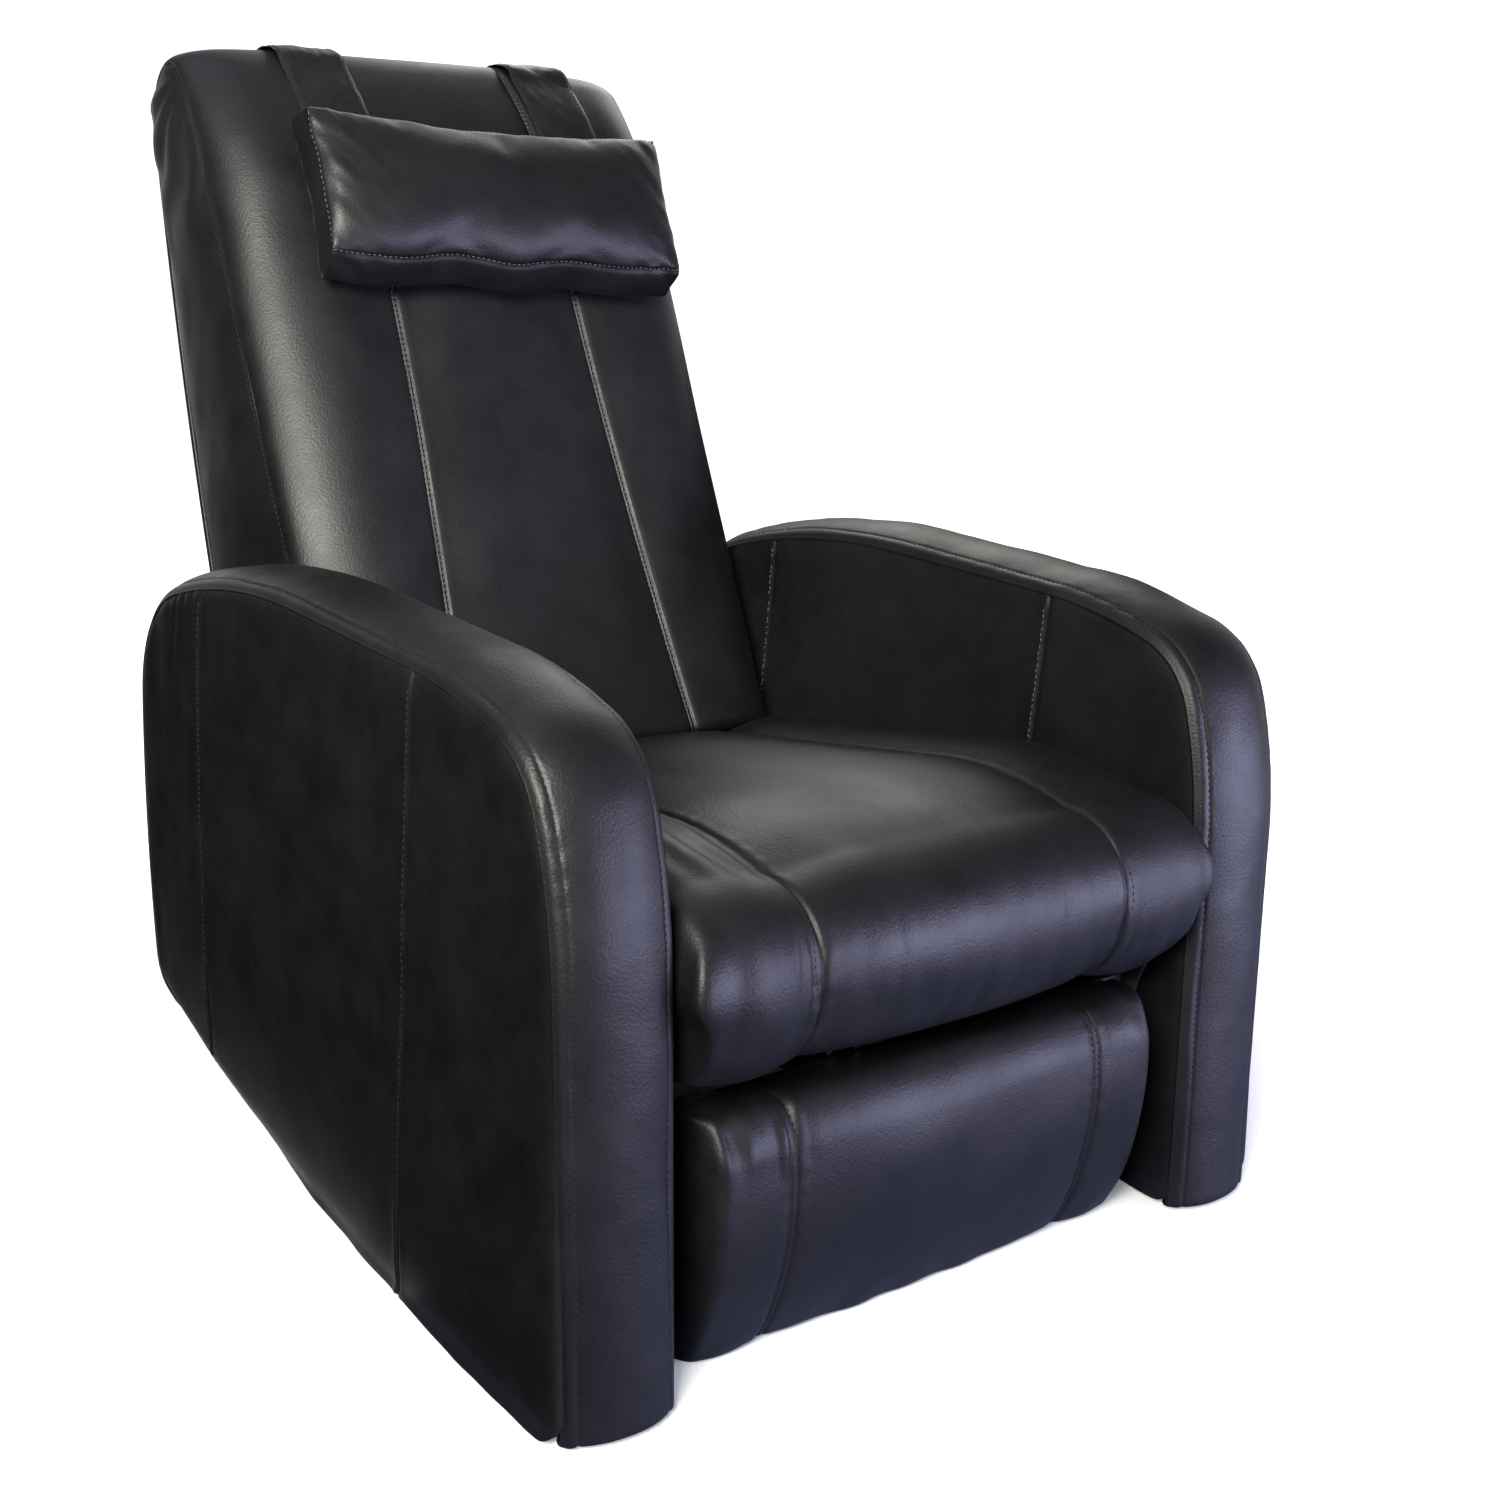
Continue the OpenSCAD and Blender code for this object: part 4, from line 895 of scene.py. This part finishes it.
def inward(p, depth):
    """The place this deep under a point of a traced side view."""
    return p[0] + cosine(p[2]) * depth, p[1] - sine(p[2]) * depth


def pad_depth(p):
    """How deep the front pad's seam lies under its middle."""
    return float(np.interp(p[2], seam_headings, seam_depths))


def front_seam(u):
    """How far from the middle a seam of the front pad is at this height."""
    return 0.115 + 0.034 * max(0, 1 - u / 0.560) ** 1.6


def back_skin(x, p):
    """The front pad's face: it falls away to the boxing seam in a roll."""
    wide = 0.110 - 0.050 * held((p[1] - 0.300) / 0.450)
    t = max(0, (abs(x) - back_half + wide) / wide)
    fall = (pad_depth(p) - 0.001) * (1 - math.sqrt(max(0, 1 - t * t)))
    s = front_seam(p[1])
    groove = 0.0040 * math.exp(-((abs(x) - s) / 0.009) ** 2) * held((60 - p[2]) / 30)
    lobe = 0.004 * math.sin(math.pi * held((abs(x) - s) / (back_half - s))) * held((40 - p[2]) / 30)
    head = 0.009 * math.exp(-((p[2] - 85) / 45) ** 2)
    head *= (1 - (abs(x) / back_half) ** 3) * (1 - 0.3 * max(0, x / back_half))
    w, u = inward(p, fall + groove - lobe - head)
    return from_back(x, w, u)


def back_columns(p):
    """Columns of the front pad at this height, closer together at the seams and the edges."""
    s = front_seam(p[1])
    inner = [s * f for f in (0, 0.14, 0.28, 0.42, 0.56, 0.69, 0.80, 0.88, 0.94, 0.98, 1.0, 1.02,
                             1.06, 1.12)]
    start = inner[-1]
    outer = [start + (back_half - 0.0004 - start) * math.sin(math.pi / 2 * i / 18) for i in range(1, 19)]
    half = inner + outer
    return [-c for c in half[:0:-1]] + half


columns = [back_columns(p) for p in back_path]
count = len(columns[0])
back_rings = []
for i in range(count):
    face = [back_skin(columns[j][i], p) for j, p in enumerate(back_path)]
    hidden = []
    for j, p in list(enumerate(back_path))[::-1]:
        x = columns[j][i]
        lining = 0.001 if abs(x) > 0.25 else -0.012 if p[2] < 40 else -0.006
        w, u = inward(p, pad_depth(p) + lining)
        hidden.append(from_back(x, w, u))
    back_rings.append(face + hidden)
back_pad = loft("back_front_cover", back_rings)
co = to_back(points_of(back_pad))
index = np.arange(count * 2 * len(back_path))
under_side = index % (2 * len(back_path)) >= len(back_path)
seams = np.array([front_seam(u) for u in co[:, 2]])
sewn_line = np.abs(np.abs(co[:, 0]) - seams) < 0.003
puff(back_pad, under_side | sewn_line | (np.abs(co[:, 0]) > 0.272) | (co[:, 2] < 0.03), 1.5, 0.003)
finish_mesh(back_pad)
co = to_back(points_of(back_pad))
seams = np.array([front_seam(u) for u in co[:, 2]])
finer(back_pad, (np.abs(np.abs(co[:, 0]) - seams) < 0.016) & (co[:, 1] < 0.08))
raw = points_of(back_pad)
co = to_back(raw)
seams = np.array([front_seam(u) for u in co[:, 2]])
shown = fade(co[:, 1] - 0.02 * fade(co[:, 2], 0.7, 0.8), 0.120, 0.045)
d = np.abs(co[:, 0]) - seams
height = -0.0016 * bell(np.abs(d) - 0.0021, 0.0013) + 0.0003 * bell(d, 0.0015)
height += 0.0004 * bell(np.abs(d) - 0.008, 0.005)
height += 0.00015 * bell(d, 0.012) * np.sin(co[:, 2] / 0.0045 + 2 * ripple(raw, 0.09, 41))
height += 0.0004 * ripple(raw, 0.20, 42)
swell(back_pad, height * shown)
leather_piece(back_pad, "backrest", 0.75, "back_front_pad")
rows = [[back_skin(side * (front_seam(p[1]) + off), p) for p in back_path[2:-18]]
        for side in (-1, 1) for off in (-0.0021, 0.0021)]
sew("back_front_thread", rows, back_pad, thread_painted_glint)


def side_cover(name):
    """The boxed side: rows run from the front seam to the rear panel, and its face swells."""
    across = 22
    edge = [inward(p, pad_depth(p)) for p in back_path]
    step = [0] + [math.dist(a, b) for a, b in zip(edge, edge[1:])]
    share = np.cumsum(step) / sum(step)
    rear_edge = np.array([inward(p, back_cover) for p in rear_line[::-1]])
    marks = np.arange(len(rear_edge))
    rings = []
    for i in range(across + 1):
        s = 0.5 - 0.5 * math.cos(math.pi * i / across)
        bulge = 0.011 * (1 - abs(2 * s - 1) ** 3)
        ring, hidden = [], []
        for (w, u), f in zip(edge, share):
            rear = [float(np.interp(f * marks[-1], marks, rear_edge[:, k])) for k in (0, 1)]
            at = (w + (rear[0] - w) * s, u + (rear[1] - u) * s)
            width = min(1.0, math.dist((w, u), rear) / 0.12)
            ring.append(from_back(back_half - 0.0015 + bulge * width * min(1, 8 * f), *at))
            hidden.append(from_back(back_half - back_cover, *at))
        rings.append(ring + hidden[::-1])
    return loft(name, rings)


right_side = side_cover("back_right_side_cover")
finish_mesh(right_side)
raw = points_of(right_side)
co = to_back(raw)
faced = fade(raw[:, 0], back_half - 0.004, back_half - 0.001)
fan_w, fan_u = co[:, 1] - 0.055, co[:, 2] - 0.80
angle = np.arctan2(fan_u, fan_w)
reach = np.hypot(fan_u, fan_w)
height = 0.0007 * ripple(raw * (0.3, 1, 1), 0.13, 51) + 0.00012 * ripple(raw * (0.3, 1, 1), 0.045, 52)
pleats = np.sin(angle * 13 + 1.2 * ripple(raw, 0.1, 53))
height += 0.0013 * fade(reach, 0.015, 0.05) * fade(reach, 0.24, 0.09) * pleats
swell(right_side, height * faced)
left_side = mirrored(right_side, "back_left_side_cover")
leather_piece(right_side, "backrest", 0.7, "back_right_side")
leather_piece(left_side, "backrest", 0.7, "back_left_side")
boxing = [from_back(back_half + 0.001, *inward(p, pad_depth(p) + 0.004)) for p in back_path[1:-2]]
sew("right_boxing_thread", [boxing], right_side, black_thread)
sew("left_boxing_thread", other_side([boxing]), left_side, black_thread)

rear_columns = [back_half * math.sin(math.pi / 2 * a) for a in np.linspace(-1, 1, 31)]
rear_rings = []
for x in rear_columns:
    t = abs(x) / back_half
    ring = []
    for i, p in enumerate(rear_line):
        end = min(i, len(rear_line) - 1 - i) / 4
        rise = -0.003 + 0.003 * min(1, end) * math.sqrt(max(0, 1 - t ** 6))
        ring.append(from_back(x, *inward(p, -rise)))
    ring += [from_back(x, *inward(p, back_cover - 0.001)) for p in rear_line[::-1]]
    rear_rings.append(ring)
rear_cover = loft("back_rear_cover", rear_rings)
finish_mesh(rear_cover)
raw = points_of(rear_cover)
swell(rear_cover, (0.0006 * ripple(raw, 0.12, 61) - 0.0006) * fade(np.abs(raw[:, 0]), 0.279, 0.26))
leather_piece(rear_cover, "backrest", 0.9, "back_rear_panel")
hem = [[from_back(x, *inward(p, 0.0)) for p in rear_line[1:-1]] for x in (-0.268, 0.268)]
hem += [[from_back(x, *inward(rear_line[i], 0.0)) for x in np.linspace(-0.26, 0.26, 40)]
        for i in (3, -4)]
sew("back_rear_thread", hem, rear_cover, black_thread)

# ---- Headrest pillow ----------------------------------------
# A loosely filled boxed pillow: front and rear faces with a gusset between them. Its upper edge
# sags, the front seam rides up along the lower edge, and the leather wrinkles at the ends.

pillow_half = 0.221
pillow_rise = 0.090
pillow_mid = 0.620
pillow_tilt = math.radians(2.0)
pillow_shift = 0.008
gusset_front, gusset_rear = -0.062, -0.024
front_swell, rear_swell = 0.024, 0.019
seam_climb = 0.016
face_rows = np.sin(np.linspace(-math.pi / 2, math.pi / 2, 27))
gusset_rows = np.linspace(0, 1, 8)[1:-1]


def pillow_point(t, s, w, bulge):
    """A point of the pillow at t across and s up, both from -1 to 1."""
    corner = abs(t * s) ** 9
    sag = (0.011 * max(0, s) + 0.004 * math.cos(3 * math.pi * t) * max(0, -s)) * (1 - t * t)
    x = t * pillow_half * (1 - 0.030 * (1 - s * s) * abs(t) ** 6) * (1 - 0.020 * corner)
    u = s * pillow_rise * (1 - 0.03 * (1 - abs(t) ** 4)) * (1 - 0.045 * corner) - sag
    u += seam_climb * max(0, -s) ** 2 * held((gusset_rear - w) / (gusset_rear - gusset_front))
    c, d = math.cos(pillow_tilt), math.sin(pillow_tilt)
    return from_back(x * c + u * d + pillow_shift, w + bulge, pillow_mid + u * c - x * d)


def pillow_ring(t):
    """Front face, upper gusset, rear face and lower gusset at t across."""
    full = 1 - abs(t) ** 5
    ring = []
    for seam, swollen, rows in ((gusset_front, -front_swell, face_rows),
                                (gusset_rear, rear_swell, face_rows[::-1])):
        for s in rows:
            ring.append(pillow_point(t, s, seam, swollen * full ** 0.6 * (1 - abs(s) ** 2.8) ** 0.7))
        for g in gusset_rows if seam == gusset_front else gusset_rows[::-1]:
            s = math.copysign(1 + 0.045 * math.sin(math.pi * g) ** 0.7, rows[-1])
            ring.append(pillow_point(t, s, gusset_front + (gusset_rear - gusset_front) * g, 0))
    return ring


across = np.sin(np.linspace(-math.pi / 2, math.pi / 2, 61))
pillow = loft("pillow_cover", [pillow_ring(t) for t in across])
co = to_back(points_of(pillow))
gusset = (co[:, 1] > gusset_front - 0.001) & (co[:, 1] < gusset_rear + 0.001)
puff(pillow, gusset, 3.0, 0.004, 0.002)
finish_mesh(pillow)
raw = points_of(pillow)
co = to_back(raw)
tx = (co[:, 0] - pillow_shift) / pillow_half
tu = (co[:, 2] - pillow_mid + co[:, 0] * math.sin(pillow_tilt)) / pillow_rise
faced = fade(co[:, 1], gusset_front + 0.004, gusset_front - 0.004)
ends = fade(np.abs(tx), 0.55, 0.95)
height = 0.0006 * ripple(raw, 0.10, 71) + 0.0001 * ripple(raw, 0.04, 72)
height += 0.0005 * ends * ripple((raw + raw[:, [2, 1, 0]] * (0.6, 0, 0.6)) * (1, 0.2, 1), 0.022, 73)
height += 0.0003 * fade(np.abs(tu), 0.6, 0.95) * ripple(raw * (1, 0.3, 0.2), 0.020, 74)
seam_gap = np.minimum(np.abs(co[:, 1] - gusset_front), np.abs(co[:, 1] - gusset_rear))
height -= 0.0022 * bell(seam_gap, 0.0022) * (1 - 0.4 * faced)
swell(pillow, height)
leather_piece(pillow, "pillow", 0.7, "pillow")
seam_in, long_side, short_side = 0.985, np.linspace(-0.985, 0.985, 60), np.linspace(-0.985, 0.985, 26)
around = ([(t, seam_in) for t in long_side] + [(seam_in, s) for s in short_side[::-1]]
          + [(t, -seam_in) for t in long_side[::-1]] + [(-seam_in, s) for s in short_side])
round_face = [pillow_point(t, s, gusset_front, 0) for t, s in around]
sew("pillow_thread", [round_face], pillow, thread_painted_glint)

# ---- Pillow straps ----------------------------------------
# Two strips of doubled leather, sewn to the pillow, run over the head of the backrest and are tacked
# down behind it.

strap_middle = 0.146
strap_shift = 0.013
strap_half = 0.040
strap_thick = 0.0036
strap_tacked = 169


def strap_line(off):
    """The strap's run from behind the pillow, over the head and down the rear, off the leather."""
    line = [(-0.0012 - off, u) for u in np.linspace(0.6445, 0.700, 10)]
    for p in back_path:
        if p[1] > 0.702 or p[2] > 60:
            if p[2] > strap_tacked:
                break
            stand = 0.0075 * float(fade(p[2], 20, 42) * fade(p[2], 118, 88))
            line.append(inward(p, -0.0012 - off - stand))
    return line


def strap(name, side):
    """One doubled strip, with its folded edges pressed in beside the sewing."""
    across = np.linspace(-1, 1, 21)
    upper, lower = strap_line(strap_thick), strap_line(0.0)
    rings = []
    edge_folds = ((0.0012, -0.86, 0.035), (0.0008, 0.86, 0.03))
    for k, (a, b) in enumerate(zip(upper, lower)):
        far = min(1, min(k, len(upper) - 1 - k) / 3)
        top, bottom = [], []
        for t in across:
            x = side * strap_middle + strap_shift + t * strap_half
            round_off = (1 - abs(t) ** 12) ** 0.5
            fold = sum(deep * math.exp(-((t - at) / wide) ** 2) for deep, at, wide in edge_folds)
            mid = ((a[0] + b[0]) / 2, (a[1] + b[1]) / 2)
            lift = 0.5 * round_off * (0.6 + 0.4 * far)
            top.append(from_back(x, mid[0] + (a[0] - b[0]) * (lift - fold / strap_thick),
                                 mid[1] + (a[1] - b[1]) * (lift - fold / strap_thick)))
            bottom.append(from_back(x, mid[0] - (a[0] - b[0]) * lift, mid[1] - (a[1] - b[1]) * lift))
        rings.append(top + bottom[::-1])
    strip = loft(name, rings)
    finish_mesh(strip)
    raw = points_of(strip)
    swell(strip, 0.0004 * ripple(raw, 0.04, 80 + side) + 0.0002 * ripple(raw, 0.015, 83 + side))
    return strip


for side, name in ((-1, "left_strap"), (1, "right_strap")):
    strip = strap(name, side)
    rows = [[from_back(side * strap_middle + strap_shift + t * strap_half, w, u)
             for w, u in strap_line(strap_thick)[3:-3]] for t in (-0.86, 0.86)]
    thread = stitches(name + "_thread", rows, strip)
    for part in (strip, thread):
        part.data.materials.append(black_leather)
        part.data.materials.append(black_thread)
    for face in thread.data.polygons:
        face.material_index = 1
    operate(strip)
    thread.select_set(True)
    bpy.ops.object.join()
    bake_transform(strip)
    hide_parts("pillow_straps", "strap_anchors")

# ---- Finishes of the frame and the mechanism ----------------------------------------
# Bent plywood and beech, welded steel painted dark grey, zinc-plated pins and rods, moulded black
# plastic, pale acetal bushes, a brass nut and rubber-tyred rollers, most of it hidden by the leather.


def part_finish(name, dark, pale, scale, gloss, metallic=0.0, stretch=(1, 1, 1)):
    """A surface whose colour, gloss and smoothness vary a little from place to place."""
    found = bpy.data.materials.new(name)
    nodes, links, shader = node_chain(found)
    where = nodes.new("ShaderNodeTexCoord").outputs["Object"]
    run = nodes.new("ShaderNodeMapping")
    dial(run, Scale=stretch)
    links.new(where, run.inputs["Vector"])
    patch = noise_node(nodes, links, run.outputs["Vector"], scale, 6, 0.6)
    colour = ramp(nodes, dark, pale, 0.3, 0.7)
    links.new(patch.outputs["Fac"], colour.inputs["Fac"])
    links.new(colour.outputs["Color"], shader.inputs["Base Color"])
    wear = nodes.new("ShaderNodeMapRange")
    dial(wear, To_Min=gloss - 0.07, To_Max=gloss + 0.09)
    links.new(patch.outputs["Fac"], wear.inputs["Value"])
    links.new(wear.outputs["Result"], shader.inputs["Roughness"])
    uneven = nodes.new("ShaderNodeBump")
    dial(uneven, Distance=0.0002)
    links.new(patch.outputs["Fac"], uneven.inputs["Height"])
    links.new(uneven.outputs["Normal"], shader.inputs["Normal"])
    dial(shader, Metallic=metallic)
    return found


paints = (
    ("black_lining", (0.006, 0.006, 0.007), (0.014, 0.014, 0.015), 700, 0.9),
    ("timber", (0.30, 0.19, 0.10), (0.50, 0.35, 0.20), 18, 0.6, 0, (1, 1, 9)),
    ("frame_steel", (0.020, 0.021, 0.023), (0.045, 0.046, 0.05), 90, 0.45, 0.3),
    ("zinc_steel", (0.42, 0.42, 0.40), (0.60, 0.61, 0.62), 60, 0.32, 1.0),
    ("black_plastic", (0.012, 0.012, 0.013), (0.028, 0.028, 0.03), 240, 0.5),
    ("switch_plastic", (0.010, 0.010, 0.010), (0.016, 0.016, 0.016), 200, 0.3),
    ("bush_plastic", (0.62, 0.60, 0.55), (0.74, 0.72, 0.67), 90, 0.42),
    ("brass", (0.42, 0.27, 0.09), (0.60, 0.42, 0.17), 70, 0.3, 1.0),
    ("roller_rubber", (0.060, 0.045, 0.036), (0.10, 0.078, 0.062), 160, 0.62))
finishes = {paint[0]: part_finish(*paint) for paint in paints}
leather_words = ("panel", "cushion", "pad", "pillow", "straps", "anchors", "back_left_side",
                 "back_right_side", "arm_band")
words = (("black_lining", ("seat_front_rail", "footrest_board")),
         ("timber", ("arm_frame", "seat_side_rails", "seat_rear_rail")),
         ("zinc_steel", ("arm_bolts", "seat_springs", "rod", "lead_screw", "shaft", "guide_rods")),
         ("bush_plastic", ("carriage_bushes",)), ("brass", ("drive_nut",)),
         ("switch_plastic", ("power_switch",)),
         ("roller_rubber", ("upper_left_roller", "lower_left_roller", "upper_right_roller",
                            "lower_right_roller")),
         ("black_plastic", ("floor_glides", "control_box", "mains_inlet", "actuator_body",
                            "screw_bearings", "travel_motor", "gearbox", "roller_arm")))
for name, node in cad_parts.items():
    finish = next((f for f, keys in words if any(k in name for k in keys)), "frame_steel")
    covered = any(word in name for word in leather_words)
    node.data.materials.clear()
    node.data.materials.append(black_leather if covered else finishes[finish])
